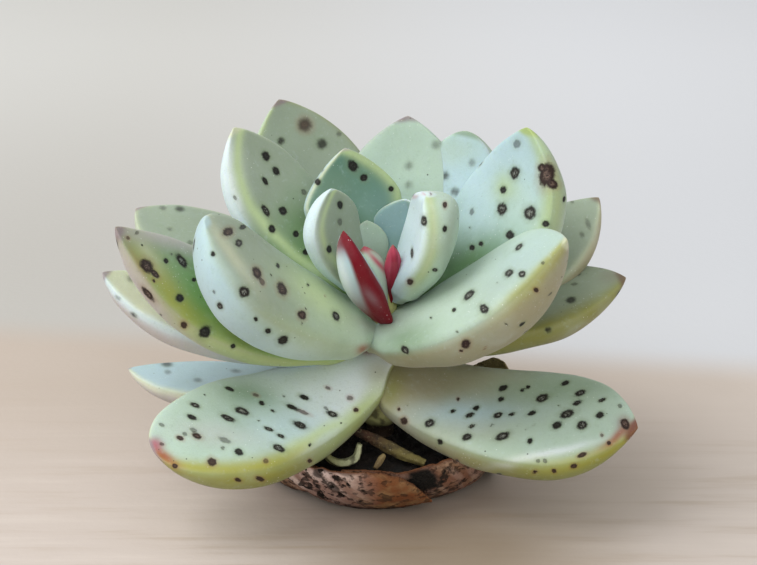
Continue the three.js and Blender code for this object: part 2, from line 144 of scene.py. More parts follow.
# How each leaf is coloured. face and back are the upper and the lower side, from foot to tip.
# first and second are the margins on the two sides: a colour, how strong it is, how wide it
# runs in millimetres, how far it lies towards the face, and the share of the length where it
# begins. rim is the colour and the strength of a painted highlight along the margins' very edge,
# where it catches the light, and tip a colour and the share of the length that it covers. keel is
# a band down the middle of the back: a colour, how strong it is, half its width in millimetres and
# how far it lies to one side. washes are soft patches that the photograph shows: the picture
# column and row of the middle, the length and the width in picture pixels, how the long way rises
# to the right in degrees, a colour and how strong it is; a few of them are painted highlight and
# painted shade. stains are the same, laid over the margins. far says how much softer a leaf at
# the back looks, and calm how much less it is mottled.
LOOKS = {
    "leaf_low_front_left": dict(
        face=("milk", "mint"), back=("olive", "olive"), first=("yellow", 0.9, 2.0, 1.0, 0.3),
        second=("cream", 0.3, 0.8, 0), tip=("mauve", 0.02), rim=("lime", 0.3), washes=[
            (250, 396, 70, 28, -14, "moss", 0.8), (290, 430, 130, 50, -10, "ice", 0.6),
            (215, 405, 100, 50, -14, "grey_green", 0.25),
            (352, 380, 60, 40, 40, "milk", 0.5), (378, 372, 26, 30, 60, "tan", 0.55),
            (215, 434, 90, 24, -8, "lilac", 0.4), (366, 404, 20, 60, -24, "lime", 0.5),
            (366, 352, 14, 8, 0, "rust", 0.8), (157, 444, 14, 14, 0, "mauve", 0.8),
            (318, 434, 120, 13, 30, "pale_lime", 0.8)], stains=[
            (164, 456, 36, 11, -36, "rust", 0.9), (155, 445, 12, 12, 0, "rose", 0.7),
            (352, 424, 130, 16, 48, "lime", 0.7)]),
    "leaf_low_front_right": dict(
        face=("tan", "mint"), back=("tan", "olive"), first=("mint", 0.3, 0.8, 0),
        second=("yellow", 0.75, 1.9, 0, 0.5), tip=("clay", 0.035), rim=("lime", 0.3), washes=[
            # The tan wash at column 425, row 384 is painted shade under the leaf above.
            (425, 384, 90, 30, 0, "tan", 0.5), (392, 392, 24, 50, -16, "olive", 0.7),
            (470, 412, 120, 30, 4, "ice", 0.9), (560, 390, 120, 30, 8, "moss", 0.45),
            # The milk wash at column 548, row 453 is a painted highlight streak above the yellow
            # margin.
            (480, 446, 130, 24, -14, "mint", 0.6), (548, 453, 96, 8, 14, "milk", 0.9),
            (624, 424, 16, 18, 0, "mauve", 0.6)],
        stains=[(619, 436, 44, 10, 34, "rust", 0.8)]),
    "leaf_middle_front_right": dict(
        face=("mint", "mint"), back=("tan", "tan"), first=("cream", 0.5, 0.6, 0),
        second=("yellow", 0.75, 1.5, 0.4, 0.55), tip=("cream", 0.02), rim=("cream", 0.2),
        washes=[
            (440, 300, 110, 34, 34, "pale_mint", 0.3), (520, 262, 100, 36, 38, "ice", 0.6),
            (470, 345, 110, 24, 24, "grey_green", 0.4), (404, 340, 70, 30, 20, "moss", 0.7),
            (500, 285, 110, 40, 38, "grey_green", 0.4)]),
    "leaf_middle_front_left": dict(
        face=("mint", "grey_green"), back=("mint", "ice"),
        first=("mint", 0.3, 1.8, 0.4), second=("cream", 0.5, 0.6, 0), tip=("ice", 0.04),
        rim=("mint", 0.15), washes=[
            (220, 282, 120, 30, -64, "ice", 0.5), (230, 252, 90, 13, -54, "cream", 0.8),
            (318, 292, 96, 40, -42, "pale_lime", 0.85), (300, 336, 110, 26, -20, "lime", 0.4),
            (364, 350, 14, 9, 20, "rust", 0.8), (275, 250, 80, 22, -42, "shade", 0.35)]),
    "leaf_heart_red": dict(
        face=("ice", "ice"), back=("clay", "ice"), first=("frost", 0.6, 0.5, 0),
        second=("frost", 0.6, 0.5, 0), tip=("crimson", 0.24),
        keel=("crimson", 1.0, 3.0, 0), calm=0.75,
        stains=[(345, 244, 20, 8, -62, "crimson", 0.9), (371, 297, 24, 9, -50, "mauve", 0.55)],
        washes=[(384, 308, 22, 20, 0, "clay", 0.7), (342, 272, 50, 12, -72, "milk", 0.8)]),
    "leaf_inner_right": dict(
        face=("ice", "frost"), back=("mint", "mint"), first=("frost", 0.4, 0.6, 0),
        second=("lime", 0.75, 1.2, 0.3), tip=("frost", 0.01), washes=[
            (450, 240, 90, 14, 82, "shade", 0.4), (415, 292, 44, 18, 0, "mint", 0.5),
            (427, 193, 10, 5, 0, "rose", 0.7), (414, 196, 8, 4, 20, "rose", 0.4)]),
    "leaf_inner_left": dict(
        face=("grey_green", "grey_green"), back=("ice", "frost"),
        first=("pale_lime", 0.8, 1.2, 2.4, 0), second=("cream", 0.4, 0.6, 0), tip=("frost", 0.04),
        rim=("frost", 0.4), washes=[(312, 240, 90, 16, -86, "frost", 0.8)]),
    "leaf_heart_red_right": dict(
        face=("rose", "rose"), back=("crimson", "rose"), first=("rose", 0.5, 0.6, 0),
        second=("rose", 0.5, 0.6, 0), tip=("rose", 0.2), keel=("crimson", 0.6, 1.0, 0), calm=0.7),
    "leaf_heart_red_left": dict(
        face=("mint", "mint"), back=("mint", "mint"), first=("crimson", 0.95, 1.1, 0, 0),
        second=("crimson", 0.95, 0.9, 0, 0), tip=("rose", 0.12), calm=0.6, stains=[
            (378, 263, 34, 5, -48, "rose", 0.95)]),
    "leaf_heart_left": dict(
        face=("sage", "sage"), back=("ice", "frost"), first=("frost", 0.6, 0.6, 0),
        second=("lime", 0.4, 0.6, 0), tip=("frost", 0.05)),
    "leaf_heart_back": dict(
        face=("grey_green", "mint"), back=("mint", "mint"), first=("mint", 0.4, 0.6, 0),
        second=("mint", 0.4, 0.6, 0), tip=("mint", 0.05)),
    "leaf_inner_back_right": dict(
        face=("teal", "slate"), back=("mint", "slate"), first=("mint", 0.5, 0.8, 0),
        second=("mint", 0.5, 0.8, 0), tip=("frost", 0.03)),
    "leaf_inner_back": dict(
        face=("moss", "teal"), back=("mint", "ice"), first=("cream", 0.6, 0.6, 0),
        second=("pale_lime", 0.9, 1.6, 1.0, 0), tip=("lilac", 0.05), washes=[
            (330, 190, 50, 40, 0, "sage", 0.5), (385, 205, 60, 40, 0, "slate", 0.3)]),
    "leaf_high_right": dict(
        face=("moss", "ice"), back=("tan", "mint"), first=("ice", 0.5, 1.4, 0),
        second=("lime", 0.6, 2.6, 1.0), tip=("lime", 0.03), rim=("mint", 0.15), washes=[
            (505, 188, 26, 30, 0, "lime", 0.7), (520, 215, 80, 50, 80, "mint", 0.6),
            (556, 200, 70, 22, 84, "olive", 0.4)],
        stains=[(472, 262, 100, 32, 38, "leaf_green", 0.7)]),
    "leaf_high_left": dict(
        face=("leaf_green", "grey_green"), back=("ice", "frost"),
        first=("pale_lime", 0.85, 1.3, 2.8, 0), second=("cream", 0.3, 0.6, 0), tip=("cream", 0.04),
        rim=("frost", 0.4), washes=[
            (232, 178, 120, 22, -82, "milk", 0.85), (322, 250, 90, 40, -50, "leaf_green", 0.6)]),
    "leaf_high_back_left": dict(
        face=("sage", "grey_green"), back=("grey_green", "mint"), first=("lime", 0.4, 1.0, 0),
        second=("olive", 0.4, 1.2, 0), tip=("mauve", 0.03), far=0.5, rim=("cream", 0.1)),
    "leaf_high_back_right": dict(
        face=("ice", "ice"), back=("mint", "mint"), first=("mint", 0.6, 1.2, 0),
        second=("mauve", 0.3, 0.8, 0), tip=("sage", 0.04), far=0.9, rim=("mint", 0.1),
        washes=[(450, 150, 60, 30, 0, "mint", 0.7)]),
    "leaf_high_back": dict(
        face=("ice", "mint"), back=("mint", "mint"), first=("mauve", 0.3, 1.0, 0),
        second=("mint", 0.4, 1.0, 0), tip=("mauve", 0.04), far=1.0, rim=("mint", 0.1)),
    "leaf_middle_left": dict(
        face=("fresh_green", "sage"), back=("lime", "lilac"),
        first=("yellow", 0.4, 3.0, 2.0), second=("lilac", 0.6, 3.0, 1.0), tip=("mauve", 0.06),
        rim=("lilac", 0.2), washes=[
            (165, 236, 110, 20, -18, "lilac", 0.8), (210, 306, 120, 60, -56, "fresh_green", 0.85),
            (168, 288, 120, 24, -58, "yellow", 0.6), (148, 254, 50, 16, -60, "cream", 0.5),
            (137, 262, 60, 6, -62, "rust", 0.3), (140, 282, 80, 11, -60, "lilac", 0.8),
            (225, 345, 90, 14, -22, "pale_lime", 0.6)]),
    "leaf_middle_right": dict(
        face=("shade", "grey_green"), back=("olive", "tan"), first=("sage", 0.4, 1.0, 0),
        second=("olive", 0.9, 1.8, 0), tip=("brown", 0.05), far=0.4, rim=("cream", 0.1),
        washes=[
            (556, 326, 130, 28, 28, "olive", 0.8), (580, 285, 80, 26, 20, "grey_green", 0.6),
            (612, 276, 30, 20, 0, "brown", 0.35)]),
    "leaf_middle_back_left": dict(
        face=("grey_green", "grey_green"), back=("grey_green", "grey_green"),
        first=("cream", 0.5, 1.2, 0), second=("cream", 0.5, 1.0, 0), tip=("mauve", 0.03), far=0.8,
        rim=("mint", 0.1)),
    "leaf_middle_back_right": dict(
        face=("shade", "grey_green"), back=("tan", "tan"), first=("grey_green", 0.4, 1, 0),
        second=("cream", 0.5, 0.8, 0), tip=("brown", 0.03), far=0.7, rim=("cream", 0.1)),
    "leaf_side_left": dict(
        face=("mint", "cream"), back=("ice", "lilac"), first=("frost", 0.8, 0.9, 0),
        second=("mint", 0.4, 0.8, 0), tip=("mauve", 0.03), far=0.8, rim=("frost", 0.1)),
    "leaf_low_left": dict(
        face=("frost", "ice"), back=("lime", "lilac"), first=("cream", 0.7, 0.9, 0),
        second=("ice", 0.4, 0.8, 0), tip=("mauve", 0.02), far=0.9, rim=("cream", 0.1)),
}
PLAIN_LOOK = dict(
    face=("sage", "mint"), back=("mint", "ice"), first=("lime", 0.6, 1.3, 0.2),
    second=("lime", 0.6, 1.3, 0.2), tip=("brown", 0.05), far=0.3)
USUAL_LOOK = dict(rim=("cream", 0.3), washes=(), stains=(), far=0, calm=0)
MARGIN_BEGINS = 0.12

# What a spot looks like: how much of a lighter centre, how brown, and how strong.
SPOT_KINDS = {
    "dark": (0.1, 0.1, 1.0), "ring": (0.8, 0.15, 1.0), "brown": (0.15, 0.75, 0.95),
    "rust": (0.3, 1.0, 0.6), "faint": (0.2, 0.2, 0.45), "scab": (0.45, 0.6, 1.0),
}

# Spots that the photograph shows: the picture column and row of the middle, and the length and
# the width in picture pixels. tilt is how the long way rises to the right in the picture.
SPOTS = {
    "leaf_low_front_left": dict(tilt=-22, rows=[
        (230, 389, 11, 4, "dark"), (195, 405, 11, 5, "ring"), (192, 417, 11, 5, "dark"),
        (162, 425, 8, 4, "faint"), (194, 430, 10, 5, "faint"), (197, 436, 11, 6, "scab"),
        (180, 438, 8, 5, "brown"), (185, 434, 6, 4, "faint"), (242, 411, 16, 7, "ring"),
        (228, 418, 16, 6, "ring"), (262, 403, 7, 5, "dark"), (273, 411, 6, 3, "ring"),
        (259, 420, 3, 3, "dark"), (304, 397, 12, 5, "dark"), (292, 407, 13, 5, "dark"),
        (303, 412, 17, 4, "rust"), (256, 395, 8, 4, "rust"), (332, 414, 12, 6, "ring"),
        (326, 408, 7, 3, "faint"), (356, 410, 6, 5, "brown"), (350, 398, 7, 6, "rust"),
        (328, 388, 7, 4, "rust"), (300, 425, 16, 7, "ring"), (269, 429, 11, 4, "ring"),
        (281, 436, 9, 4, "ring"), (279, 448, 14, 7, "ring"), (225, 440, 15, 6, "faint"),
        (223, 448, 5, 5, "faint"), (239, 452, 10, 7, "dark"), (212, 462, 10, 9, "brown"),
        (175, 466, 6, 5, "brown"), (266, 461, 6, 6, "rust"), (310, 461, 5, 5, "brown"),
        (238, 480, 8, 4, "brown"), (260, 479, 10, 5, "brown"), (310, 445, 3, 4, "dark"),
        (341, 423, 2, 2, "dark"), (284, 396, 4, 3, "faint"), (205, 395, 3, 2, "dark"),
        (162, 444, 6, 4, "rust")]),
    "leaf_low_front_right": dict(tilt=22, rows=[
        (503, 388, 10, 6, "dark"), (501, 399, 8, 5, "dark"), (522, 390, 6, 4, "dark"),
        (528, 387, 5, 4, "dark"), (565, 383, 10, 5, "dark"), (580, 393, 14, 6, "ring"),
        (542, 398, 15, 8, "ring"), (577, 403, 11, 5, "ring"), (602, 400, 9, 4, "ring"),
        (620, 406, 5, 5, "faint"), (476, 408, 8, 5, "dark"), (453, 411, 7, 4, "dark"),
        (470, 415, 11, 5, "ring"), (498, 415, 11, 6, "ring"), (512, 414, 8, 4, "dark"),
        (532, 413, 11, 5, "dark"), (567, 414, 16, 9, "ring"), (600, 415, 9, 7, "dark"),
        (557, 425, 11, 8, "dark"), (582, 425, 12, 9, "ring"), (430, 423, 12, 8, "ring"),
        (404, 421, 8, 8, "brown"), (399, 409, 4, 4, "brown"), (407, 405, 4, 3, "faint"),
        (472, 426, 8, 4, "ring"), (492, 425, 7, 3, "faint"), (518, 425, 4, 2, "faint"),
        (526, 429, 4, 2, "faint"), (534, 425, 4, 2, "faint"), (467, 437, 11, 7, "ring"),
        (503, 436, 16, 8, "ring"), (530, 441, 7, 6, "dark"), (440, 442, 6, 7, "dark"),
        (457, 462, 5, 6, "brown"), (498, 475, 8, 4, "dark"), (535, 472, 6, 4, "brown"),
        (554, 471, 5, 5, "brown"), (574, 466, 8, 5, "brown"), (582, 455, 10, 5, "brown"),
        (609, 443, 5, 5, "brown"), (538, 461, 5, 5, "faint"), (545, 461, 5, 6, "faint"),
        (602, 435, 4, 5, "rust"), (625, 424, 9, 12, "scab"), (458, 399, 4, 4, "brown"),
        (559, 405, 3, 2, "dark")]),
    "leaf_middle_left": dict(tilt=-50, rows=[
        (147, 266, 17, 12, "scab"), (155, 274, 12, 6, "scab"), (154, 281, 4, 3, "brown"),
        (166, 261, 6, 5, "dark"), (182, 261, 17, 8, "ring"), (194, 280, 5, 5, "dark"),
        (180, 298, 9, 9, "dark"), (179, 282, 2, 2, "dark"), (142, 245, 3, 2, "dark"),
        (148, 294, 20, 6, "scab"), (184, 325, 8, 7, "brown"), (205, 332, 12, 15, "dark"),
        (233, 346, 5, 6, "dark"), (201, 297, 3, 3, "faint"), (161, 315, 4, 2, "faint"),
        (168, 326, 7, 4, "faint"), (137, 233, 4, 5, "faint"), (128, 238, 5, 4, "rust"),
        (163, 302, 2, 2, "brown"), (171, 254, 3, 3, "faint")]),
    "leaf_middle_front_left": dict(tilt=-65, rows=[
        (228, 232, 9, 12, "scab"), (243, 227, 5, 9, "dark"), (239, 243, 8, 8, "ring"),
        (213, 254, 6, 5, "dark"), (257, 273, 13, 9, "scab"), (262, 282, 9, 6, "rust"),
        (278, 266, 6, 4, "dark"), (271, 275, 3, 3, "dark"), (282, 289, 15, 10, "scab"),
        (244, 292, 12, 12, "ring"), (220, 306, 8, 6, "ring"), (214, 292, 5, 3, "faint"),
        (256, 319, 5, 5, "dark"), (268, 331, 6, 7, "dark"), (283, 340, 9, 12, "dark"),
        (302, 315, 10, 9, "scab"), (336, 316, 11, 7, "ring"), (308, 285, 4, 3, "dark"),
        (305, 293, 2, 2, "dark"), (306, 308, 2, 2, "dark"), (227, 214, 2, 3, "dark"),
        (219, 214, 2, 2, "dark"), (302, 324, 2, 3, "dark"), (325, 296, 3, 2, "rust")]),
    "leaf_middle_front_right": dict(tilt=42, rows=[
        (519, 247, 10, 5, "ring"), (509, 273, 10, 7, "ring"), (522, 274, 8, 7, "ring"),
        (543, 263, 4, 4, "faint"), (469, 295, 14, 7, "ring"), (484, 309, 9, 11, "ring"),
        (454, 310, 5, 4, "dark"), (431, 318, 3, 3, "dark"), (536, 290, 5, 6, "brown"),
        (522, 324, 8, 3, "dark"), (569, 260, 5, 2, "dark"), (550, 294, 7, 2, "faint"),
        (562, 277, 2, 2, "dark"), (466, 344, 10, 9, "scab"), (461, 351, 4, 4, "brown"),
        (405, 350, 7, 10, "ring"), (485, 348, 5, 2, "brown"), (497, 283, 3, 2, "faint"),
        (506, 324, 3, 5, "faint"), (457, 332, 3, 4, "faint")]),
    "leaf_high_left": dict(tilt=-58, rows=[
        (266, 156, 11, 8, "dark"), (276, 171, 10, 7, "dark"), (265, 181, 11, 5, "dark"),
        (266, 211, 15, 6, "ring"), (283, 211, 10, 8, "dark"), (304, 192, 8, 6, "faint"),
        (272, 229, 9, 8, "dark"), (296, 234, 7, 7, "dark"), (306, 252, 7, 7, "dark"),
        (235, 198, 7, 4, "faint")]),
    "leaf_high_back_left": dict(tilt=-55, rows=[
        (305, 125, 15, 14, "brown"), (322, 144, 11, 11, "dark"), (281, 141, 8, 8, "dark"),
        (339, 134, 6, 6, "faint")]),
    "leaf_inner_back": dict(tilt=-55, rows=[
        (353, 166, 14, 10, "dark"), (364, 178, 8, 8, "dark"), (391, 189, 6, 6, "dark"),
        (318, 182, 7, 7, "dark"), (321, 170, 6, 7, "faint")]),
    "leaf_inner_left": dict(tilt=-80, rows=[
        (340, 205, 9, 6, "dark"), (340, 222, 9, 6, "faint"), (329, 249, 8, 6, "dark")]),
    "leaf_high_back": dict(tilt=80, rows=[
        (409, 166, 10, 9, "faint"), (409, 185, 9, 8, "faint"), (436, 145, 9, 9, "faint")]),
    "leaf_high_back_right": dict(tilt=80, rows=[
        (445, 176, 9, 8, "dark"), (455, 192, 9, 8, "dark"), (472, 163, 9, 7, "faint")]),
    "leaf_high_right": dict(tilt=80, rows=[
        (515, 173, 13, 10, "ring"), (503, 190, 9, 7, "dark"), (502, 209, 14, 10, "ring"),
        (530, 213, 14, 13, "ring"), (546, 224, 7, 8, "dark"), (510, 235, 9, 9, "dark"),
        (472, 212, 9, 5, "faint"), (470, 228, 4, 3, "faint"), (472, 248, 7, 6, "dark"),
        (481, 244, 6, 5, "dark"), (547, 175, 27, 17, "scab"), (542, 168, 10, 10, "scab"),
        (552, 184, 10, 14, "scab"), (564, 199, 7, 3, "dark"), (517, 144, 10, 9, "faint")]),
    "leaf_inner_right": dict(tilt=88, rows=[
        (424, 221, 11, 7, "ring"), (445, 205, 7, 5, "brown"), (445, 229, 7, 5, "dark"),
        (412, 253, 11, 3, "ring"), (410, 282, 7, 7, "brown"), (435, 270, 4, 6, "ring"),
        (430, 194, 3, 4, "rust")]),
    "leaf_middle_right": dict(tilt=10, rows=[
        (571, 300, 11, 7, "dark"), (548, 330, 7, 7, "dark"), (578, 274, 7, 5, "faint"),
        (574, 284, 8, 4, "faint")]),
    "leaf_middle_back_right": dict(tilt=-70, rows=[
        (588, 224, 13, 5, "faint"), (582, 235, 8, 5, "faint"), (572, 202, 5, 4, "faint")]),
    "leaf_middle_back_left": dict(tilt=-10, rows=[
        (163, 208, 8, 5, "faint"), (180, 209, 10, 6, "dark"), (190, 243, 6, 5, "dark"),
        (170, 229, 7, 4, "faint")]),
    "leaf_side_left": dict(tilt=-35, rows=[
        (131, 279, 9, 7, "faint"), (134, 315, 8, 4, "dark"), (118, 298, 8, 4, "faint")]),
    "leaf_low_left": dict(tilt=-5, rows=[
        (167, 364, 11, 6, "dark"), (188, 357, 10, 7, "faint"), (168, 372, 7, 5, "faint"),
        (198, 380, 9, 5, "faint"), (236, 371, 11, 4, "faint")]),
}
CLEAR = ("leaf_heart_back", "leaf_heart_left", "leaf_heart_red", "leaf_heart_red_left",
         "leaf_heart_red_right", "leaf_inner_back_right")  # no spots on the side that is seen
SPOT_TRIES = 28  # tries to strew a spot on each leaf's sides that the photograph doesn't show
SPOT_REACH = 9.0  # farther than this, in half sizes of a spot, nothing of it shows
SPOT_ROOM = 3.5  # half sizes that a strewn spot keeps away from other spots
SPOT_MISS = 6  # pixels within which a spot of the photograph has to meet its leaf
SPOT_DEPTH = 1.6  # how far a spot goes round a leaf's form, in shares of its longer side
GRAZING = 0.08  # a surface that faces the viewer less squarely than this counts as unseen
FAR_FADE = 0.35
# The strewn spots: ranges of the place along the leaf, of half the length in millimetres and half
# the width as a share of it, and of the lighter centre and the brown.
STREWN = {"along": (0.22, 0.93), "long": (0.5, 1.25), "wide": (0.6, 0.95), "ring": (0, 0.8),
          "brown": (0.05, 0.6), "strength": 0.9}
# Grids of the leaves at the back and of those that the photograph shows closely
FAR_LEAVES = {"rows": 70, "sides": 64}
NEAR_LEAVES = {"rows": 120, "sides": 104}
NEAR = ("leaf_low_front_left", "leaf_low_front_right", "leaf_middle_front_right",
        "leaf_middle_front_left", "leaf_middle_left", "leaf_inner_right", "leaf_inner_left",
        "leaf_high_right", "leaf_high_left", "leaf_heart_red", "leaf_inner_back")


def unit(vectors):
    """The vectors, each at length one."""
    return vectors / np.linalg.norm(vectors, axis=-1, keepdims=True)


def ease(low, high, value):
    """A smooth step from 0 at low to 1 at high: three squares less two cubes of the share."""
    share = np.clip((value - low) / (high - low), 0, 1)
    return share * share * (3 - 2 * share)


def lerp(start, end, share):
    """start where share is 0, end where it is 1, and in a straight line between."""
    return start + (end - start) * share


def from_turn(turn, radius, height):
    """The point at a turn, a distance from the Z axis and a height."""
    angle = np.radians(turn)
    return np.array([np.cos(angle) * radius, np.sin(angle) * radius, height])


def colour(name):
    """A palette colour as linear red, green and blue: the usual sRGB curve, undone."""
    text = PALETTE.get(name, name)
    value = np.array([int(text[k:k + 2], 16) / 255 for k in (0, 2, 4)])
    return np.where(value <= 0.04045, value / 12.92, ((value + 0.055) / 1.055) ** 2.4)


def eye_axes():
    """The photograph's viewpoint, and its right, up and forward directions."""
    rise = math.radians(EYE["rise"])
    back = np.array([0, -math.cos(rise), math.sin(rise)])
    right = np.array([1.0, 0, 0])
    place = np.array(EYE["target"]) + back * EYE["away"]
    return place, right, np.cross(right, -back), -back


def picture_points(points):
    """Where points fall in the picture: column and row, by the pinhole rule."""
    place, right, up, forward = eye_axes()
    away = (points - place) @ forward
    column = PHOTO["centre"][0] + PHOTO["focal"] * ((points - place) @ right) / away
    row = PHOTO["centre"][1] - PHOTO["focal"] * ((points - place) @ up) / away
    return np.stack([column, row], -1)


def grain(points, size, seed):
    """Smooth noise from 0 to 1: random values on a lattice of cells of that size, blended with
    a smooth step along each axis."""
    count = 24
    table = np.random.default_rng(seed).random((count, count, count))
    scaled = points / size
    cell = np.floor(scaled).astype(int)
    share = ease(0, 1, scaled - cell)
    total = np.zeros(points.shape[:-1])
    for corner in np.ndindex(2, 2, 2):
        x, y, z = np.moveaxis((cell + corner) % count, -1, 0)
        total += table[x, y, z] * np.prod(np.where(corner, share, 1 - share), axis=-1)
    return total


def tube_faces(rows, sides, base=0):
    """The faces of a closed tube whose points count up from base: four-sided ones between
    neighbouring rings, and a fan from each end ring to a point that follows the rings."""
    here = base + np.arange(rows * sides).reshape(rows, sides)
    beside = np.roll(here, -1, axis=1)
    quads = np.stack([here[:-1], beside[:-1], beside[1:], here[1:]], -1).reshape(-1, 4)
    start = np.full(sides, base + rows * sides)
    fans = np.concatenate([np.stack([start, beside[0], here[0]], -1),
                           np.stack([start + 1, here[-1], beside[-1]], -1)])
    return quads.tolist() + fans.tolist()


def tube_mesh(name, rings, first, last, **attributes):
    """A closed mesh from a grid of rings, with a fan to a point at each end. attributes maps a
    name to an array over the grid, whose end points take the value where their ring starts."""
    mesh = bpy.data.meshes.new(name)
    points = np.concatenate([rings.reshape(-1, 3), [first, last]])
    mesh.from_pydata(points * MM, [], tube_faces(*rings.shape[:2]))
    for key, grid in attributes.items():
        values = np.concatenate([grid.reshape(-1, 3), [grid[0, 0], grid[-1, 0]]])
        layer = mesh.attributes.new(key, "FLOAT_VECTOR", "POINT")
        layer.data.foreach_set("vector", values.astype(np.float32).ravel())
    mesh.shade_smooth()
    return mesh


def outward(rings):
    """The direction out of a grid of rings at each point: the way round the ring crossed with
    the way along."""
    along = np.gradient(rings, axis=0)
    around = np.roll(rings, -1, axis=1) - np.roll(rings, 1, axis=1)
    return unit(np.cross(around, along) + 1e-9)


def place(name, mesh, finish, slot, *nodes):
    """Puts a mesh in the scene as a piece that stands for the named nodes."""
    mesh.materials.append(finish)
    piece = bpy.data.objects.new(name, mesh)
    bpy.context.scene.collection.objects.link(piece)
    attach(piece, "root")
    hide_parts(*nodes)
    return piece


BEND_AT = (0.34, 0.7)  # shares of the length where a leaf's two bows are given
HANDLE_PULL = 1.4  # how far a handle of the midline moves for each millimetre of bow
TIP_CROWDING = 1.25  # above 1, rings gather towards the tip
STEM_BLEND = 0.62  # the share of its size that a leaf has where it starts inside the stem
UNDER_BULGE = 0.16  # how much wider the lower side is than the margins
SWELL = {"cell": 5.5, "depth": 0.32, "thickness": 8}
DRIFT = {"cell": 3.2, "depth": 1.1, "pixels": 3}
# Width in millimetres of the painted highlight along a leaf's margin edge
HIGHLIGHT_RIM_WIDTH = 0.4
FIRST_LEAF_SEED = 11


def leaf_surface(leaf, rows, sides, seed):
    """A leaf's rings. A Bezier midline runs from inside the stem to the tip. Across it the
    section has full round margins, is shallow or hollow above and deep and round below, and is
    widest past the middle. Two slow waves and fine grain keep it from looking turned."""
    root_turn = leaf.get("root_turn", leaf["turn"])
    start = from_turn(root_turn, leaf["root_out"], leaf["root"])
    end = from_turn(leaf["turn"], leaf["reach"], leaf["height"])
    chord = end - start
    way = unit(chord)
    side = from_turn(leaf["turn"] + 90, 1, 0)
    side = unit(side - way * (side @ way))
    face = np.cross(way, side)
    face = face if face[2] > 0 else -face
    swing = side * leaf["sway"] * HANDLE_PULL
    handles = [start + chord * share - face * bow * HANDLE_PULL + swing
               for share, bow in zip(BEND_AT, leaf["bow"])]
    t = 1 - (1 - np.arange(rows)[:, None] / rows) ** TIP_CROWDING
    middle = ((1 - t) ** 3 * start + 3 * (1 - t) ** 2 * t * handles[0]
              + 3 * (1 - t) * t ** 2 * handles[1] + t ** 3 * end)
    tangent = unit((1 - t) ** 2 * (handles[0] - start) + 2 * (1 - t) * t * (handles[1] - handles[0])
                   + t ** 2 * (end - handles[1]))
    flat = unit(face - tangent * (tangent @ face)[:, None])
    across = np.cross(flat, tangent)
    roll = math.radians(leaf["roll"])
    up = flat * math.cos(roll) + across * math.sin(roll)
    out = across * math.cos(roll) - flat * math.sin(roll)

    neck, peak, puff = leaf["neck"], leaf["peak"], leaf["puff"]
    taper = np.clip((t - peak) / (1 - peak), 0, None)
    foot = STEM_BLEND + (1 - STEM_BLEND) * ease(0, 0.12, t)
    half = (leaf["wide"] / 2 * foot * (neck + (1 - neck) * ease(-0.12, peak, t))
            * (1 - taper ** leaf["point"]) ** leaf["blunt"])
    thin = (1 - np.clip((t - 0.55) / 0.45, 0, None) ** leaf["full"]) ** 0.8
    deep = leaf["thick"] * (STEM_BLEND + (1 - STEM_BLEND) * ease(0, 0.45, t)) * foot * thin
    angle = TAU * np.arange(sides)[None] / sides
    sine = np.sin(angle)
    size = np.abs(sine)
    wider = np.where(sine < 0, 1 + UNDER_BULGE * ease(0.05, 0.4, t) * size ** 0.8, 1)
    hollow = leaf["dish"] * ease(0.1, 0.5, t)
    above = deep * puff * size ** 0.8 * (1 - hollow * sine ** 2)
    ridge = 1 + leaf["keel"] * np.clip(size - 0.7, 0, None) / 0.3
    below = deep * (1 - puff) * ridge * size ** 0.95
    wave = 1 + 0.012 * np.sin(7 * t + seed) + 0.008 * np.sin(17 * t + 2 * seed)
    rings = (middle[:, None] + out[:, None] * (half * wave * np.cos(angle) * wider)[..., None]
             + up[:, None] * np.where(sine > 0, above, -below)[..., None])
    normal = outward(rings)
    swell = (grain(rings, SWELL["cell"], seed) - 0.5) * SWELL["depth"]
    swell = swell * ease(0, 0.2, t) * ease(1, 0.9, t) * min(leaf["thick"] / SWELL["thickness"], 1)
    rings = rings + normal * swell[..., None]
    return rings, normal, t, angle, start, end


def ring_lengths(rings):
    """Arc lengths round each ring, measured from the first margin, the second margin and the
    keel. The face side of a margin is positive and the back side negative, and so is the side of
    the keel towards the second margin."""
    sides = rings.shape[1]
    steps = np.linalg.norm(np.roll(rings, -1, axis=1) - rings, axis=-1)
    length = np.cumsum(steps, axis=1) - steps
    total = steps.sum(axis=1, keepdims=True)
    middle = length[:, sides // 2][:, None]
    on_face = np.arange(sides)[None] <= sides // 2
    first = np.where(on_face, length, length - total)
    keel = length[:, (3 * sides) // 4][:, None]
    return first, middle - length, length - keel


def facing_eye(rings, normal):
    """How squarely each point faces the photograph's viewpoint: the cosine of the angle."""
    return np.einsum("ijk,ijk->ij", normal, unit(eye_axes()[0] - rings))


def in_patch(flat, column, row, long, wide, tilt):
    """Where picture points lie in a patch: along and across it, in shares of its half size."""
    offset = flat - (column, row)
    turn = math.radians(tilt)
    along = offset[..., 0] * math.cos(turn) - offset[..., 1] * math.sin(turn)
    across = offset[..., 0] * math.sin(turn) + offset[..., 1] * math.cos(turn)
    return along / (long / 2), across / (wide / 2)


def washed(paint, patches, flat, seen):
    """The colours with soft patches laid over them, each fading outwards by a bell curve."""
    for column, row, long, wide, tilt, name, strength in patches:
        a, b = in_patch(flat, column, row, long, wide, tilt)
        paint = lerp(paint, colour(name), (np.exp(-a * a - b * b) * seen * strength)[..., None])
    return paint


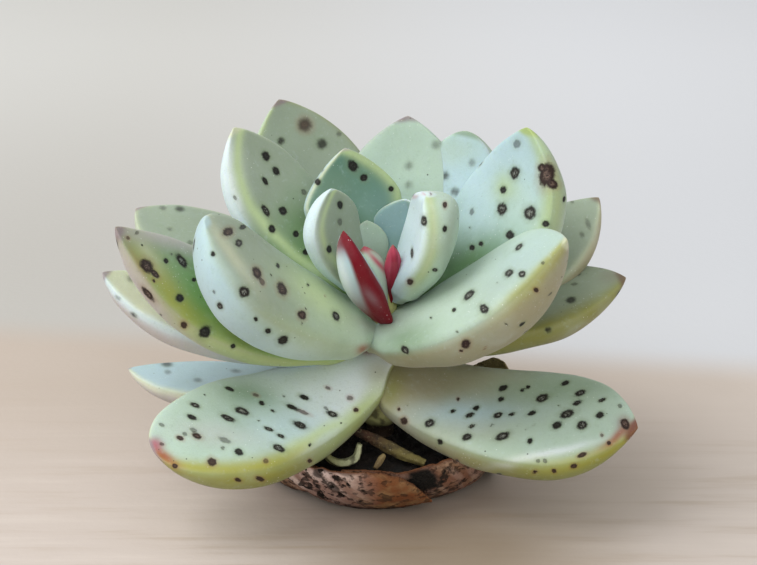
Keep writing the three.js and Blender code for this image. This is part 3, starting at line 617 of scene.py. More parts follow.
def leaf_colours(look, rings, normal, t, angle, seed):
    """The leaf's colour over its grid: face and back run from foot to tip, and washes, margins with
    a painted highlight along their very edge, keel, stains and tip are laid over them in this
    order, with edges that wander."""
    first, second, keel = ring_lengths(rings)
    drift = (grain(rings, DRIFT["cell"], seed + 1) - 0.5) * DRIFT["depth"]
    lively = 1 - look["calm"]
    along = ease(0.12, 0.72, t + drift * 0.08)[..., None]
    face = lerp(colour(look["face"][0]), colour(look["face"][1]), along)
    back = lerp(colour(look["back"][0]), colour(look["back"][1]), along)
    paint = lerp(back, face, ease(-0.12, 0.12, np.sin(angle) + 0 * t)[..., None])
    flat, seen = picture_points(rings), ease(0, 0.3, facing_eye(rings, normal))
    flat = flat + drift[..., None] * DRIFT["pixels"] * lively
    paint = washed(paint, look["washes"], flat, seen)
    for arc, row in ((first, look["first"]), (second, look["second"])):
        name, strength, width, shift, begins = (*row, MARGIN_BEGINS)[:5]
        band = np.exp(-((arc - shift + drift * 0.5) / width) ** 2)
        band = band * strength * ease(begins, begins + 0.3, t)
        paint = lerp(paint, colour(name), band[..., None])
        # Painted highlight along the margin's very edge, where it catches the light.
        rim, power = look["rim"]
        edge = np.exp(-(arc / HIGHLIGHT_RIM_WIDTH) ** 2) * power * ease(0.15, 0.5, t)
        paint = lerp(paint, colour(rim), edge[..., None])
    if "keel" in look:
        name, strength, width, shift = look["keel"]
        reach = width * (0.65 + 0.6 * ease(1, 0.1, t))
        band = ease(1.25, 0.75, (np.abs(keel - shift) + drift * 0.3) / reach) * strength
        paint = lerp(paint, colour(name), band[..., None])
    paint = washed(paint, look["stains"], flat, seen)
    name, share = look["tip"]
    cap = ease(1 - share, 1 - share * 0.35, t + drift * share * 0.8 * lively)
    return lerp(paint, colour(name), (cap * 0.85)[..., None])


def nearest_marks(best, distance, kind):
    """Keeps, at each grid point, the mark whose middle is nearest."""
    closer = distance < best["distance"]
    best["distance"] = np.where(closer, distance, best["distance"])
    best["kind"] = np.where(closer[..., None], np.array(kind), best["kind"])


def leaf_marks(name, look, rings, normal, seed):
    """Spots as two grids. The first holds the distance to the middle of the nearest spot in shares
    of its half size, the leaf's blur and its calm. The second says what that spot looks like."""
    shape = rings.shape[:2]
    best = {"distance": np.full(shape, SPOT_REACH), "kind": np.zeros(shape + (3,))}
    seen = facing_eye(rings, normal) > GRAZING
    flat = picture_points(rings)
    drawn = SPOTS.get(name, {"tilt": 0, "rows": []})
    softer = 1 - FAR_FADE * look["far"]
    for column, row, long, wide, kind in drawn["rows"]:
        offset = flat - (column, row)
        gap = np.where(seen, np.linalg.norm(offset, axis=-1), 99)
        nearest = np.unravel_index(gap.argmin(), shape)
        if gap[nearest] > SPOT_MISS:
            continue
        reach = max(long, wide) / PIXELS_PER_MM
        depth = np.linalg.norm(rings - rings[nearest], axis=-1) / (SPOT_DEPTH * reach)
        a, b = in_patch(flat, column, row, long, wide, drawn["tilt"])
        distance = np.maximum(np.hypot(a, b), depth)
        ring, brown, strength = SPOT_KINDS[kind]
        nearest_marks(best, distance, (ring, brown, strength * softer))
    random = np.random.default_rng(seed)
    along = unit(np.gradient(rings, axis=0) + 1e-9)
    front_given = name in SPOTS or name in CLEAR
    for _ in range(SPOT_TRIES):
        i = int(random.uniform(*STREWN["along"]) * shape[0])
        j = int(random.uniform(0, 1) * shape[1])
        long = random.uniform(*STREWN["long"])
        wide = long * random.uniform(*STREWN["wide"])
        ring, brown = random.uniform(*STREWN["ring"]), random.uniform(*STREWN["brown"])
        if (front_given and seen[i, j]) or best["distance"][i, j] < SPOT_ROOM:
            continue
        offset = rings - rings[i, j]
        a, c = offset @ along[i, j], offset @ normal[i, j]
        b = offset @ np.cross(normal[i, j], along[i, j])
        distance = np.sqrt((a / long) ** 2 + (b / wide) ** 2 + (c / wide) ** 2)
        nearest_marks(best, distance, (ring, brown, STREWN["strength"]))
    blur, calm = np.full(shape, float(look["far"])), np.full(shape, float(look["calm"]))
    return np.stack([best["distance"], blur, calm], -1), best["kind"]


class Value:
    """A socket that takes Python's operators: each adds one Math node."""

    def __init__(self, finish, socket):
        self.finish = finish
        self.socket = socket

    def math(self, operation, *others):
        """This value put through one operation, with the others as its further inputs."""
        inputs = dict(enumerate((self,) + others))
        return self.finish.add("ShaderNodeMath", {"operation": operation}, inputs)

    def __add__(self, other):
        return self.math("ADD", other)

    __radd__ = __add__

    def __sub__(self, other):
        return self.math("SUBTRACT", other)

    def __rsub__(self, other):
        return self.finish.add("ShaderNodeMath", {"operation": "SUBTRACT"}, {0: other, 1: self})

    def __mul__(self, other):
        return self.math("MULTIPLY", other)

    __rmul__ = __mul__

    def __truediv__(self, other):
        return self.math("DIVIDE", other)

    def root(self):
        return self.math("SQRT")

    def step(self, low, high):
        """A smooth step from 0 at low to 1 at high."""
        return self.finish.add(
            "ShaderNodeMapRange", {"interpolation_type": "SMOOTHSTEP"},
            {"Value": self, "From Min": low, "From Max": high, "To Min": 0.0, "To Max": 1.0})


class Finish:
    """A material under construction: add puts in a node and gives back one of its outputs."""

    def __init__(self, name):
        self.material = bpy.data.materials.new(name)
        self.material.use_nodes = True
        self.tree = self.material.node_tree
        self.tree.nodes.clear()
        self.place = self.add("ShaderNodeTexCoord", output="Object")

    def add(self, kind, settings=None, inputs=None, output=0):
        """A node of that kind, with its settings made first, then the values or the links of its
        sockets. A node without outputs gives nothing back."""
        node = self.tree.nodes.new(kind)
        for key, value in (settings or {}).items():
            setattr(node, key, value)
        for key, value in (inputs or {}).items():
            if isinstance(value, Value):
                self.tree.links.new(value.socket, node.inputs[key])
            else:
                node.inputs[key].default_value = value
        return Value(self, node.outputs[output]) if node.outputs else None

    def noise(self, size, detail=2.0, roughness=0.5, stretch=None, where=None):
        """Noise whose cells are about size millimetres across, or a thousandth of the unit of
        the vector where."""
        where = where or self.place
        if stretch:
            where = self.add("ShaderNodeMapping", {}, {"Vector": where, "Scale": stretch})
        return self.add("ShaderNodeTexNoise", {}, {
            "Vector": where, "Scale": 1000 / size, "Detail": detail, "Roughness": roughness})

    def dots(self, size):
        """Distance to the nearest of points strewn about size millimetres apart."""
        return self.add("ShaderNodeTexVoronoi", {}, {
            "Vector": self.place, "Scale": 1000 / size}, "Distance")

    def attribute(self, name):
        """The three numbers that a piece's mesh holds at each point under that name."""
        return self.add("ShaderNodeAttribute", {"attribute_name": name}, {}, "Vector")

    def parts(self, vector):
        """The three numbers of a vector."""
        first = self.add("ShaderNodeSeparateXYZ", {}, {"Vector": vector}, 0)
        node = first.socket.node
        return first, Value(self, node.outputs[1]), Value(self, node.outputs[2])

    def mix(self, start, end, share):
        """Two colours mixed by a share. Each is a Value, or a palette name."""
        pair = [c if isinstance(c, Value) else (*colour(c), 1.0) for c in (start, end)]
        return self.add("ShaderNodeMix", {"data_type": "RGBA"},
                        {0: share, 6: pair[0], 7: pair[1]}, 2)

    def surface(self, paint, roughness, height, depth, constants=None):
        """The shader: varied colour and roughness, a bump of that depth in millimetres, and
        what is the same all over set on its own sockets."""
        bump = self.add("ShaderNodeBump", {}, {
            "Strength": 1.0, "Distance": depth * MM, "Height": height})
        inputs = {"Base Color": paint, "Roughness": roughness, "Normal": bump}
        inputs.update(constants or {})
        shader = self.add("ShaderNodeBsdfPrincipled", {}, inputs)
        self.add("ShaderNodeOutputMaterial", {}, {"Surface": shader})
        return self.material


def leaf_finish(name, gloss):
    """Waxy leaf skin with that much gloss. The ground colour comes from the leaf's own grid. Over
    it lie cloudy bloom, velvety grain, white painted highlight glints, fine dark dots, and spots
    with ragged edges, some with a paler speckled middle and a soft halo."""
    finish = Finish(name)
    ground = finish.attribute("ground")
    reach, blur, calm = finish.parts(finish.attribute("mark"))
    ring, brown, strength = finish.parts(finish.attribute("kind"))
    cloud = finish.noise(9, 3)
    velvet = finish.noise(0.35, 3, 0.7)
    fine = finish.noise(1.1, 3, 0.6)

    lively = 1 - calm
    paint = finish.mix(ground, "frost", cloud.step(0.5, 0.85) * lively * 0.2)
    paint = finish.mix(paint, "moss", cloud.step(0.5, 0.15) * lively * 0.22)
    paint = finish.mix(paint, "frost", fine.step(0.55, 0.85) * lively * 0.2)
    paint = finish.mix(paint, "moss", fine.step(0.45, 0.15) * lively * 0.2)
    paint = finish.mix(paint, "shade", velvet.step(0.5, 0.2) * lively * 0.18)

    # Painted highlight: white glints strewn over the skin.
    painted_glint = finish.dots(0.8).step(0.15, 0.07) * finish.noise(5, 2).step(0.5, 0.64)
    paint = finish.mix(paint, "ffffff", painted_glint * 0.5)
    fleck = finish.dots(2.3).step(0.085, 0.05) * finish.noise(4, 2).step(0.52, 0.6)
    paint = finish.mix(paint, "1e2416", fleck * 0.8)

    ragged = (fine - 0.5) * 0.7 + (velvet - 0.5) * 0.25
    radius = reach + ragged * (1 - blur * 0.8)
    soft = 1 - strength
    halo = radius.step(2.0, 0.8) * strength * 0.35
    paint = finish.mix(paint, finish.mix("moss", "rust", brown), halo)
    edge = (radius + soft * 0.15 - 0.93) / (1 + blur * 1.6)
    body = edge.step(0.24, -0.24) * (1 - soft * 0.75)
    dark = finish.mix("10140c", "30130b", brown)
    middle = radius.step(0.66, 0.2) * ring * velvet.step(0.42, 0.58)
    dark = finish.mix(dark, finish.mix("a3b0a6", "a3624a", brown), middle * 0.8)
    paint = finish.mix(paint, dark, body)

    roughness = 0.58 + body * 0.12 + (velvet - 0.5) * 0.12
    height = velvet * 0.25 + fine * 0.25 + cloud * 0.4 - body * 0.7
    return finish.surface(paint, roughness, height, 0.15, {
        "Specular IOR Level": gloss, "Sheen Weight": gloss * 0.2, "Sheen Roughness": 0.45,
        "Sheen Tint": (0.92, 0.97, 1.0, 1.0),
        "Subsurface Weight": 0.25, "Subsurface Radius": (0.9, 1.0, 0.5),
        "Subsurface Scale": 2.0 * MM, "IOR": 1.4})


leaf_skin = leaf_finish("leaf_skin", 0.5)
heart_skin = leaf_finish("heart_skin", 0.15)


def make_leaf(index, name):
    """One leaf with its colours and spots on its grid."""
    leaf = USUAL_LEAF | LEAVES[name]
    look = USUAL_LOOK | LOOKS.get(name, PLAIN_LOOK)
    density = NEAR_LEAVES if name in NEAR else FAR_LEAVES
    seed = FIRST_LEAF_SEED + index
    rings, normal, t, angle, start, end = leaf_surface(leaf, seed=seed, **density)
    paint = leaf_colours(look, rings, normal, t, angle, seed)
    mark, kind = leaf_marks(name, look, rings, normal, seed)
    mesh = tube_mesh(name, rings, start, end, ground=paint, mark=mark, kind=kind)
    slot, skin = ("young_leaf", heart_skin) if leaf["keel"] else ("leaf", leaf_skin)
    place("skin_" + name, mesh, skin, slot, name)


for number, leaf_name in enumerate(LEAVES):
    make_leaf(number, leaf_name)

# The cup and its soil
BARK = {"thick": 1.8, "foot": (19, 10.8), "flare": (3, 8.7), "height": 14}
BARK_GRID = (190, 88)
INSIDE = -BARK["thick"] / 2 - GAP  # offset from the wall's middle of what fits inside the cup
FLOOR = {"thick": 2.4, "bevel": 1, "shares": (0.02, 0.4, 0.8), "smooth": 0.6}
SOIL = {"top": 8, "mound": 1.2, "rings": 34, "crumbs": 320, "crumb": (0.25, 0.85), "sink": 0.1}
# The pieces of the cup. An outline has, for each turn, the heights of the lower and the upper
# edge, and layer counts the bark pieces that lie further in. burns are charred patches in the
# way of a leaf's washes, without a colour. smooth_from is where along a piece its rough skin
# ends, and ragged how torn its upper edge is. pale gives a piece a paler inside: olive brown,
# painted lighter against the shade that it stands in.
BARK_PIECES = {
    "bark_front": dict(layer=1, smooth_from=(0.4, 0.7), outline=[
        (220, 8, 10.4), (230, 5, 11.4), (242, 2, 11.9), (256, 0.2, 12), (270, 0, 11.8),
        (282, 0.5, 9.6), (294, 2, 3)], burns=[
        (318, 474, 12, 8, -40, 0.8), (334, 488, 14, 7, -40, 0.7)]),
    "bark_right": dict(layer=0, outline=[
        (252, 6, 10.5), (266, 0.8, 10.8), (278, 0, 10.6), (289, 0, 11.2), (300, 0.6, 12),
        (320, 1.5, 12.2), (338, 2.2, 11.6), (348, 3.4, 10), (356, 5, 7.5)], burns=[
        (423, 480, 34, 24, -12, 1.0), (443, 480, 26, 4, 62, 0.9)]),
    "bark_left": dict(layer=0, outline=[
        (172, 4, 7), (188, 1, 9.6), (206, 0.4, 11.4), (224, 1.2, 11.4), (240, 2.2, 10.2),
        (250, 4, 7)]),
    "bark_back_left": dict(layer=1, outline=[
        (108, 4, 7), (126, 1, 10.5), (146, 0, 12.8), (164, 0, 12.8), (184, 1, 10.5),
        (200, 4, 6.5)]),
    "bark_back": dict(layer=0, outline=[
        (46, 5, 9), (62, 1, 12.6), (84, 0, 13.6), (106, 0, 13.2), (128, 0, 10.8), (148, 3, 6)]),
    "bark_back_right": dict(layer=1, pale=True, ragged=0.3, outline=[
        (344, 5, 8), (356, 1, 13.4), (368, 0, 19.2), (386, 0, 19.8), (406, 1, 15), (430, 4, 7)]),
}


def catmull(points, share):
    """A smooth curve through points, each span with the same share of it: the Catmull-Rom rule,
    whose cubic in each span keeps the ends' slopes, with the first and last span carried on."""
    points = np.asarray(points, float)
    points = np.concatenate([[2 * points[0] - points[1]], points, [2 * points[-1] - points[-2]]])
    place_on = np.clip(share, 0, 1) * (len(points) - 3)
    index = np.minimum(np.floor(place_on).astype(int), len(points) - 4)
    u = (place_on - index)[..., None]
    p0, p1, p2, p3 = (points[index + k] for k in range(4))
    return 0.5 * (2 * p1 + (p2 - p0) * u + (2 * p0 - 5 * p1 + 4 * p2 - p3) * u ** 2
                  + (3 * p1 - p0 - 3 * p2 + p3) * u ** 3)


def wall_points(turn, height, offset):
    """The bark wall: an oval bowl whose radii grow with the sine of the height's share."""
    rise = np.sin(np.clip(height / BARK["height"], 0, 1) * math.pi / 2)
    angle = np.radians(turn)
    wide, deep = (BARK["foot"][k] + BARK["flare"][k] * rise + offset for k in (0, 1))
    return np.stack([np.cos(angle) * wide, np.sin(angle) * deep, height + 0 * angle], -1)


def bark_rings(outline, layer, seed, torn):
    """A bark piece's rings: a thin rounded section between the low and the high edge, carried
    along the outline, with ragged edges. run says how far a point lies across and along the
    strands, which slant downwards to the right. A degree of turn counts as about a third of a
    millimetre there."""
    rows, sides = BARK_GRID
    share = np.arange(rows + 1)[:, None] / rows
    turn, low, high = np.moveaxis(catmull(outline, share[:, 0]), -1, 0)[..., None]
    edge = turn[..., None] * (0.35, 0, 0)
    quick, slow = grain(edge, 1.3, seed) - 0.5, grain(edge, 4.1, seed + 1) - 0.5
    high = high + torn * (quick * 0.5 + slow * 0.9) * ease(0, 0.12, share) * ease(1, 0.88, share)
    angle = TAU * np.arange(sides)[None] / sides
    height = low + (high - low) * (1 + np.cos(angle)) / 2
    sine = np.sin(angle)
    half = BARK["thick"] / 2 * np.abs(sine) ** 0.5 * (0.55 + 0.45 * np.abs(sine))
    offset = layer * (BARK["thick"] + GAP) + np.sign(sine) * half
    wall = wall_points(turn + 0 * height, height, offset)
    across = turn * 0.3 + height * 0.72
    along = turn * 0.26 - height * 0.7
    run = np.stack([across, along, sine + 0 * height], -1)
    strand = grain(run * (1, 0.22, 1), 1.1, seed + 2)
    pit = ease(0.56, 0.76, grain(run * (1, 0.5, 1), 1.3, seed + 3))
    rough = grain(wall, 0.7, seed + 5)
    outer = ease(0.1, 0.6, sine)
    return wall, run, height, share, strand, pit, rough, outer


def make_bark(index, name):
    """One piece of the cup, pitted on its outer side and plainer inside."""
    row = BARK_PIECES[name]
    wall, run, height, share, strand, pit, rough, outer = bark_rings(
        row["outline"], row["layer"], 60 + index * 10, row.get("ragged", 1))
    smooth = np.full(share.shape, 0.7)
    if "smooth_from" in row:
        smooth = ease(*row["smooth_from"], share)
    deep = outer * (0.45 * pit * (1 - 0.8 * smooth) + 0.3 * (1 - strand) * (1 - 0.7 * smooth)
                    + 0.12 * rough) + (1 - outer) * 0.15 * rough
    rings = wall - outward(wall) * (deep * ease(0, 0.05, share) * ease(1, 0.95, share))[..., None]
    rings[..., 2] = np.clip(rings[..., 2], 0, None)
    # Painted contact shadow: the foot darkened towards black within about two millimetres of the
    # table, carried along with the charred patches.
    painted_contact_shadow = ease(1.8, 0.4, height + (rough - 0.5) * 1.5) * 0.7
    char_and_shadow, picture = painted_contact_shadow, picture_points(rings)
    for column, line, long, wide, tilt, strength in row.get("burns", ()):
        a, b = in_patch(picture + (rough[..., None] - 0.5) * 5, column, line, long, wide, tilt)
        char_and_shadow = np.maximum(char_and_shadow, ease(1.25, 0.75, np.hypot(a, b)) * strength * outer)
    kinds = np.stack(np.broadcast_arrays(pit * (1 - 0.8 * smooth), strand, smooth + 0 * height), -1)
    side = np.stack(np.broadcast_arrays(outer + 0 * share, rough, char_and_shadow), -1)
    mesh = tube_mesh(name, rings, rings[0].mean(0), rings[-1].mean(0),
                     bark=kinds, side=side, run=run)
    place("dressed_" + name, mesh, bark_painted_lighter if row.get("pale") else bark_skin, "bark", name)


def bark_finish(name, inside):
    """Bark: pinkish grey strands with near black pits, tan and orange with small pits where it
    is smooth, charred patches, a painted contact shadow that darkens its foot, and its own colour
    inside."""
    finish = Finish(name)
    pit, strand, smooth = finish.parts(finish.attribute("bark"))
    outer, rough, char_and_shadow = finish.parts(finish.attribute("side"))
    run = finish.attribute("run")
    fibre = finish.noise(1100, 4, 0.6, (1.0, 0.2, 0.4), run)
    hole = finish.noise(1250, 2, 0.55, (1.0, 0.9, 0.9), run)
    fine = finish.noise(0.4, 4, 0.65)
    patch = finish.noise(4, 3)
    pore = finish.noise(1.9, 2, 0.6)
    rind = finish.mix("a5857a", "e2ccc4", (strand * 0.5 + fibre * 0.5).step(0.35, 0.65))
    tan = finish.mix("765034", "a67e55", patch.step(0.3, 0.7))
    tan = finish.mix(tan, "8f4c20", patch.step(0.6, 0.42) * 0.5)
    tan = finish.mix(tan, "5a3a24", fibre.step(0.5, 0.3) * 0.5)
    paint = finish.mix(rind, tan, smooth)
    paint = finish.mix(inside, paint, outer)
    holes = hole.step(0.55, 0.63) * (1 - smooth) + pore.step(0.51, 0.6) * (0.95 - smooth * 0.3)
    paint = finish.mix(paint, "20150f", (pit.step(0.3, 0.9) * 0.6 + holes) * outer * 0.9)
    paint = finish.mix(paint, "38241a", fine.step(0.46, 0.2) * 0.5)
    paint = finish.mix(paint, "d3b49c", fine.step(0.62, 0.86) * 0.35)
    # Charred patches, and the painted contact shadow at the foot, near black.
    paint = finish.mix(paint, finish.mix("0c0b09", "2a2620", fine.step(0.4, 0.8)), char_and_shadow)
    height = fine * 0.6 + rough * 0.3 + fibre * 0.6 - holes * 1.2 - char_and_shadow * 0.6
    return finish.surface(paint, 0.74 + fine * 0.18, height, 0.35, {"Specular IOR Level": 0.3})


bark_skin = bark_finish("bark_skin", "6a4127")
# A copy of the bark with a much paler inside: painted light for the back right piece, whose inside
# stands in shade.
bark_painted_lighter = bark_finish("bark_painted_lighter", "b09c70")
for number, bark_name in enumerate(BARK_PIECES):
    make_bark(number, bark_name)


def ovals(rows, sides):
    """Level rings inside the cup. Each row has the height at which it takes the wall's oval, its
    offset from the wall, the share of the oval that it keeps, and the height that it lies at."""
    turn = 360 * np.arange(sides) / sides
    rings = []
    for wall_height, offset, share, height in rows:
        ring = wall_points(turn, wall_height + 0 * turn, offset) * (share, share, 0)
        rings.append(ring + (0, 0, height))
    return np.stack(rings)


def make_floor():
    """The flat oval piece of bark that everything stands on, with a bevelled lower edge."""
    foot = INSIDE - FLOOR["bevel"]
    rows = [(0, foot, share, 0) for share in FLOOR["shares"]]
    rows += [(0, foot, 1, 0), (0, INSIDE, 1, FLOOR["bevel"]), (0, INSIDE, 1, FLOOR["thick"])]
    rows += [(0, INSIDE, share, FLOOR["thick"]) for share in reversed(FLOOR["shares"])]
    rings = ovals(rows, 96)
    none = np.zeros(rings.shape[:2])
    kinds = np.stack([none, grain(rings, 2, 3), none + FLOOR["smooth"]], -1)
    side = np.stack([none + 1, grain(rings, 1, 4), none], -1)
    mesh = tube_mesh("cup_floor", rings, (0, 0, 0), (0, 0, FLOOR["thick"]),
                     bark=kinds, side=side, run=rings)
    place("dressed_cup_floor", mesh, bark_skin, "bark", "cup_floor")


def soil_finish():
    """Dark, crumbly, slightly moist soil with a few paler grains."""
    finish = Finish("soil_crumbs")
    fine = finish.noise(0.45, 4, 0.7)
    patch = finish.noise(2.6, 3)
    paint = finish.mix("0e0a08", "221812", patch.step(0.35, 0.7))
    paint = finish.mix(paint, "4a3826", fine.step(0.64, 0.82) * 0.5)
    return finish.surface(paint, 0.88 - fine * 0.2, fine + patch * 0.5, 0.4)


def crumbs(count, seed):
    """Small lumps: coarse balls of seven by five faces, squashed and dented by grain, strewn
    over the soil."""
    random = np.random.default_rng(seed)
    turn = TAU * np.arange(7) / 7
    tall = np.radians([-54, -18, 18, 54])
    ball = np.stack([np.cos(tall)[:, None] * np.cos(turn), np.cos(tall)[:, None] * np.sin(turn),
                     np.sin(tall)[:, None] + 0 * turn], -1)
    rows = []
    for _ in range(count):
        share, way = math.sqrt(random.uniform(0.02, 0.86)), random.uniform(0, 360)
        spot = wall_points(np.array(way), np.array(float(SOIL["top"])), -1.6) * share
        spot[2] = SOIL["top"] + SOIL["mound"] * (1 - share) - SOIL["sink"]
        size = random.uniform(*SOIL["crumb"])
        lump = ball * size * random.uniform(0.7, 1.2, 3)
        lump = lump * (1 + 0.5 * (grain(lump + spot * 3, 0.6, seed) - 0.5))[..., None]
        rows.append(lump + spot)
    return rows


def join_tubes(name, tubes):
    """One mesh from several closed grids of rings."""
    points, faces = [], []
    for rings in tubes:
        faces += tube_faces(*rings.shape[:2], base=sum(len(part) for part in points))
        ends = [rings[0].mean(0), rings[-1].mean(0)]
        points.append(np.concatenate([rings.reshape(-1, 3), ends]))
    mesh = bpy.data.meshes.new(name)
    mesh.from_pydata(np.concatenate(points) * MM, [], faces)
    mesh.shade_smooth()
    return mesh


def make_soil():
    """Soil up to near the rim, higher round the stem by a power of the share of the way in,
    roughened above by grain, with crumbs on it."""
    low, top = FLOOR["thick"] + GAP, SOIL["top"]
    rows = [(top, INSIDE, share, low) for share in (0.05, 0.5)]
    rows += [(height, INSIDE, 1, height) for height in (low, low + 2, top - 0.8)]
    sides = len(rows)
    rows += [(top, INSIDE, share, top + SOIL["mound"] * (1 - share) ** 0.7)
             for share in np.linspace(0.97, 0.03, SOIL["rings"])]
    rings = ovals(rows, 128)
    lumps = grain(rings, 1.1, 21) * 0.7 + grain(rings, 0.45, 22) * 0.3 - 0.5
    rings[sides:, :, 2] += lumps[sides:]
    mesh = join_tubes("soil", [rings] + crumbs(SOIL["crumbs"], 5))
    place("dressed_soil", mesh, soil_finish(), "soil", "soil")


# The stem and the dry bits in the cup. ends are the colours of a dry bit's two ends.
STEM = {"foot": 5, "collar": 12, "swell": 15, "waist": 28, "top": 41.5, "thin": 2.6, "thick": 5,
        "high": 3.2}
STEM_COLOURS = ("3a2a1c", "c4c684")  # of the foot in the soil and of what stands above it
STALKS = {
    "dry_stalk_long": dict(wide=2.2, high=1.7, ends=("4a3020", "766c3a"), points=[
        (-5.2, -8.4, 13.8), (-0.6, -10.6, 12.6), (3.6, -12.6, 11.1), (8, -13.6, 9.6)]),
    "dry_stalk_short": dict(wide=1.2, high=1.2, ends=("a08c60", "7e6a48"), points=[
        (0.7, -12.9, 10.8), (0, -13.9, 10.2), (-0.9, -15.2, 9.4)]),
    "dry_husk_curl": dict(wide=1.4, high=3, ends=("8a8a58", "c4c8a0"), points=[
        (-9.6, -12.2, 12.6), (-9.2, -13.2, 10.6), (-7, -13.8, 9.7), (-4.4, -13.8, 10.6),
        (-3.6, -13.4, 13.2)]),
}


def dry_finish(name):
    """Dry plant skin: the ground colour of its own grid, streaked lengthways and flecked."""
    finish = Finish(name)
    ground = finish.attribute("ground")
    fine = finish.noise(0.4, 4, 0.6)
    blotch = finish.noise(2.2, 3)
    paint = finish.mix(ground, "2b2016", blotch.step(0.52, 0.35) * 0.7)
    paint = finish.mix(paint, "d8cda0", fine.step(0.56, 0.8) * 0.5)
    return finish.surface(paint, 0.7 + fine * 0.15, fine, 0.22)


def make_stem():
    """The stem: a thin foot, a swollen collar under the lowest leaves and a narrowing stalk,
    turned round the Z axis from a smooth profile and dented by grain for its leaf scars."""
    s = STEM
    profile = [
        (s["foot"], s["thin"] * 0.8), (s["foot"] + 2, s["thin"]), (s["collar"] - 1.2, s["thin"]),
        (s["collar"] + 0.6, s["thick"] * 0.86), (s["swell"], s["thick"]),
        (s["swell"] + 5, s["thick"] * 0.92), (s["waist"], s["high"]),
        (s["waist"] + 8, s["high"] * 0.94), (s["top"] - 1.2, s["high"] * 0.5),
        (s["top"], s["high"] * 0.1)]
    height, radius = np.moveaxis(catmull(profile, np.linspace(0, 1, 120)), -1, 0)[..., None]
    angle = TAU * np.arange(72)[None] / 72
    rings = np.stack(np.broadcast_arrays(
        radius * np.cos(angle), radius * np.sin(angle), height + 0 * angle), -1)
    scars = (grain(rings * (1, 1, 2), 2.2, 31) - 0.5) * 0.35 + (grain(rings, 0.8, 32) - 0.5) * 0.2
    rings = rings + outward(rings) * (scars * ease(s["foot"], s["foot"] + 2, height))[..., None]
    green = ease(s["collar"] - 1, s["collar"] + 2, height + 0 * angle)[..., None]
    paint = lerp(*(colour(text) for text in STEM_COLOURS), green)
    mesh = tube_mesh("stem", rings, (0, 0, s["foot"]), (0, 0, s["top"]), ground=paint)
    place("dressed_stem", mesh, dry_finish("stem_skin"), "stem", "stem")


def make_stalk(name, finish):
    """A dry stalk: an oval section with five shallow ribs, carried along its points, whose size
    grows and falls with a half turn of a sine."""
    row = STALKS[name]
    share = np.linspace(0, 1, 90)
    middle = catmull(row["points"], share)
    tangent = unit(np.gradient(middle, axis=0))
    across = unit(np.cross(tangent, (0.2, -1, 0.3)))
    up = np.cross(tangent, across)
    angle = TAU * np.arange(28)[None] / 28
    size = (0.6 + 0.4 * np.sin(math.pi * share))[:, None] * (1 + 0.08 * np.cos(5 * angle))
    rings = (middle[:, None] + across[:, None] * (row["wide"] / 2 * size * np.cos(angle))[..., None]
             + up[:, None] * (row["high"] / 2 * size * np.sin(angle))[..., None])
    rings = rings + outward(rings) * ((grain(rings, 0.7, 41) - 0.5) * 0.18)[..., None]
    start, end = (colour(text) for text in row["ends"])
    paint = lerp(start, end, ease(0.2, 0.8, share)[:, None, None] + 0 * angle[..., None])
    mesh = tube_mesh(name, rings, middle[0], middle[-1], ground=paint)
    place("dressed_" + name, mesh, finish, "dry_stalk", name)


make_floor()
make_soil()
make_stem()
dry_skin = dry_finish("dry_skin")
for stalk_name in STALKS:
    make_stalk(stalk_name, dry_skin)

# The stage: a pale table that turns into a pale grey wall colour behind the plant, in metres.
# A pair of distances is where a change begins and ends, to the right or away from the viewer.
TABLE = {"slope": 0.125, "turns_at": (0.049, 0.068), "sides": (-0.09, 0.09), "depth": (0.1, 0.34),
         "front": (-0.03, 0.05), "pale": (0, 0.1), "grain_ends": (0.05, -0.03),
         "stain_and_shadow": (0.012, -0.028), "stain_and_shadow_size": (0.03, 0.022), "size": 6.0}
LIT_SPOT = (0, 0, 0.035)
LIGHTS = {
    "key": dict(spot=(-0.54, 0.0, 0.66), size=0.8, power=6.4, tint=(0.98, 0.99, 1.0)),
    "fill": dict(spot=(0.1, -0.8, 0.55), size=1.0, power=2.4, tint=(1.0, 0.98, 0.95)),
}
SKY = {"tint": (1.0, 0.995, 0.98, 1.0), "power": 0.58}


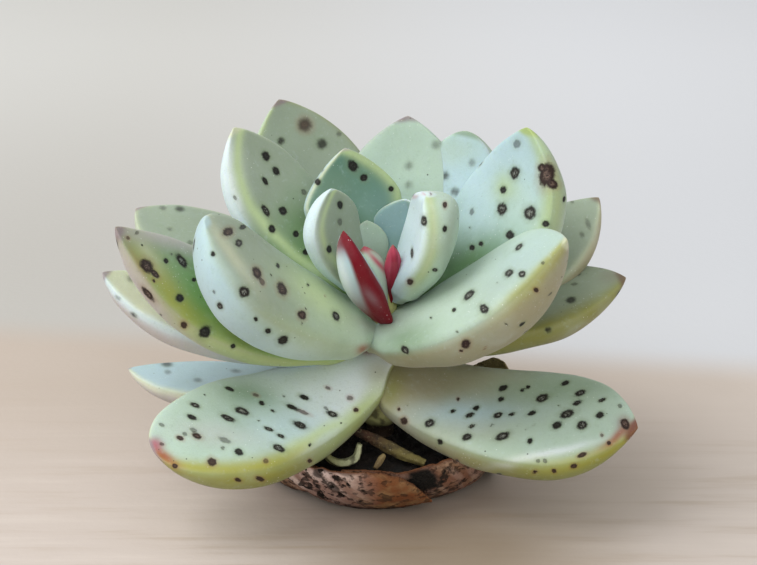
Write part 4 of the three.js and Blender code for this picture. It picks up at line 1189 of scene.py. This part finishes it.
def make_table():
    """A wide pale board with faint grain, a brown stained patch in front of the cup that is also
    painted shadow, a right side painted lighter against the plant's shadow and a few specks, whose
    colour changes softly to that of a wall a little way behind the plant, painted lighter higher
    up."""
    half = TABLE["size"] / 2
    mesh = bpy.data.meshes.new("table")
    corners = [(-half, -half, 0), (half, -half, 0), (half, half, 0), (-half, half, 0)]
    mesh.from_pydata(corners, [], [(0, 1, 2, 3)])
    finish = Finish("table_top")
    right, away, _ = finish.parts(finish.place)
    cloud = finish.noise(30, 3)
    streak = finish.noise(4, 4, 0.6, (0.08, 1.0, 1.0))
    wood = finish.mix("c9bdb4", "baac9f", away.step(*TABLE["front"]))
    # Painted light: the right side of the board lighter, against the plant's shadow.
    wood = finish.mix(wood, "ded4cc", right.step(*TABLE["pale"]) * 0.5)
    clear = away.step(*TABLE["grain_ends"])
    wood = finish.mix(wood, "a8937a", streak.step(0.5, 0.72) * clear * 0.4)
    wood = finish.mix(wood, "dfd5cb", streak.step(0.5, 0.3) * clear * 0.25)
    wood = finish.mix(wood, "bfb3a8", cloud.step(0.45, 0.7) * 0.3)
    # A soft brown patch in front of the cup: partly the board's own staining, partly painted shadow
    # of the plant.
    side, near = ((value - middle) / half_size for value, middle, half_size in zip(
        (right, away), TABLE["stain_and_shadow"], TABLE["stain_and_shadow_size"]))
    stain_and_shadow = (side * side + near * near).root().step(1.3, 0.2)
    wood = finish.mix(wood, "75603f", stain_and_shadow * 0.7)
    wood = finish.mix(wood, "4a3a30", finish.dots(26).step(0.022, 0.014) * 0.8)
    # The wall colour: lighter and bluer to the right, and lighter farther away, which shows higher
    # up: painted light against the lamps' falloff.
    low = finish.mix("b6b3ad", "d0d2d6", right.step(*TABLE["sides"]))
    high = finish.mix("cdccc8", "dcdee2", right.step(*TABLE["sides"]))
    wall = finish.mix(low, high, away.step(*TABLE["depth"]))
    paint = finish.mix(wood, wall, (away + right * TABLE["slope"]).step(*TABLE["turns_at"]))
    mesh.materials.append(finish.surface(paint, 0.6 + cloud * 0.1, finish.noise(1.5, 3), 0.05))
    table = bpy.data.objects.new("table", mesh)
    bpy.context.scene.collection.objects.link(table)


def look_along(way):
    """The turn that points a lamp's or camera's -Z axis that way, with its Y axis upwards."""
    return Vector(way).to_track_quat("-Z", "Y").to_euler()


def make_light():
    """A broad key from above on the left, a weak fill from the front and a pale sky."""
    for name, row in LIGHTS.items():
        lamp = bpy.data.lights.new(name, "AREA")
        lamp.size = row["size"]
        lamp.energy = row["power"]
        lamp.color = row["tint"]
        item = bpy.data.objects.new(name, lamp)
        item.location = row["spot"]
        item.rotation_euler = look_along(np.array(LIT_SPOT) - row["spot"])
        bpy.context.scene.collection.objects.link(item)
    world = bpy.data.worlds.new("studio")
    world.use_nodes = True
    background = world.node_tree.nodes["Background"]
    background.inputs["Color"].default_value = SKY["tint"]
    background.inputs["Strength"].default_value = SKY["power"]
    bpy.context.scene.world = world


def make_camera():
    """The photograph's viewpoint, with its frame shifted to the fitted centre."""
    lens = bpy.data.cameras.new("view")
    lens.sensor_width = 36.0
    lens.lens = PHOTO["focal"] / PHOTO["wide"] * lens.sensor_width
    lens.shift_x = (PHOTO["wide"] / 2 - PHOTO["centre"][0]) / PHOTO["wide"]
    lens.shift_y = (PHOTO["centre"][1] - PHOTO["high"] / 2) / PHOTO["wide"]
    lens.clip_start = 0.01
    lens.clip_end = 20.0
    place_at, _, _, forward = eye_axes()
    camera = bpy.data.objects.new("view", lens)
    camera.location = place_at * MM
    camera.rotation_euler = look_along(forward)
    bpy.context.scene.collection.objects.link(camera)
    bpy.context.scene.camera = camera


make_table()
make_light()
make_camera()
bpy.context.scene.view_settings.view_transform = "Standard"
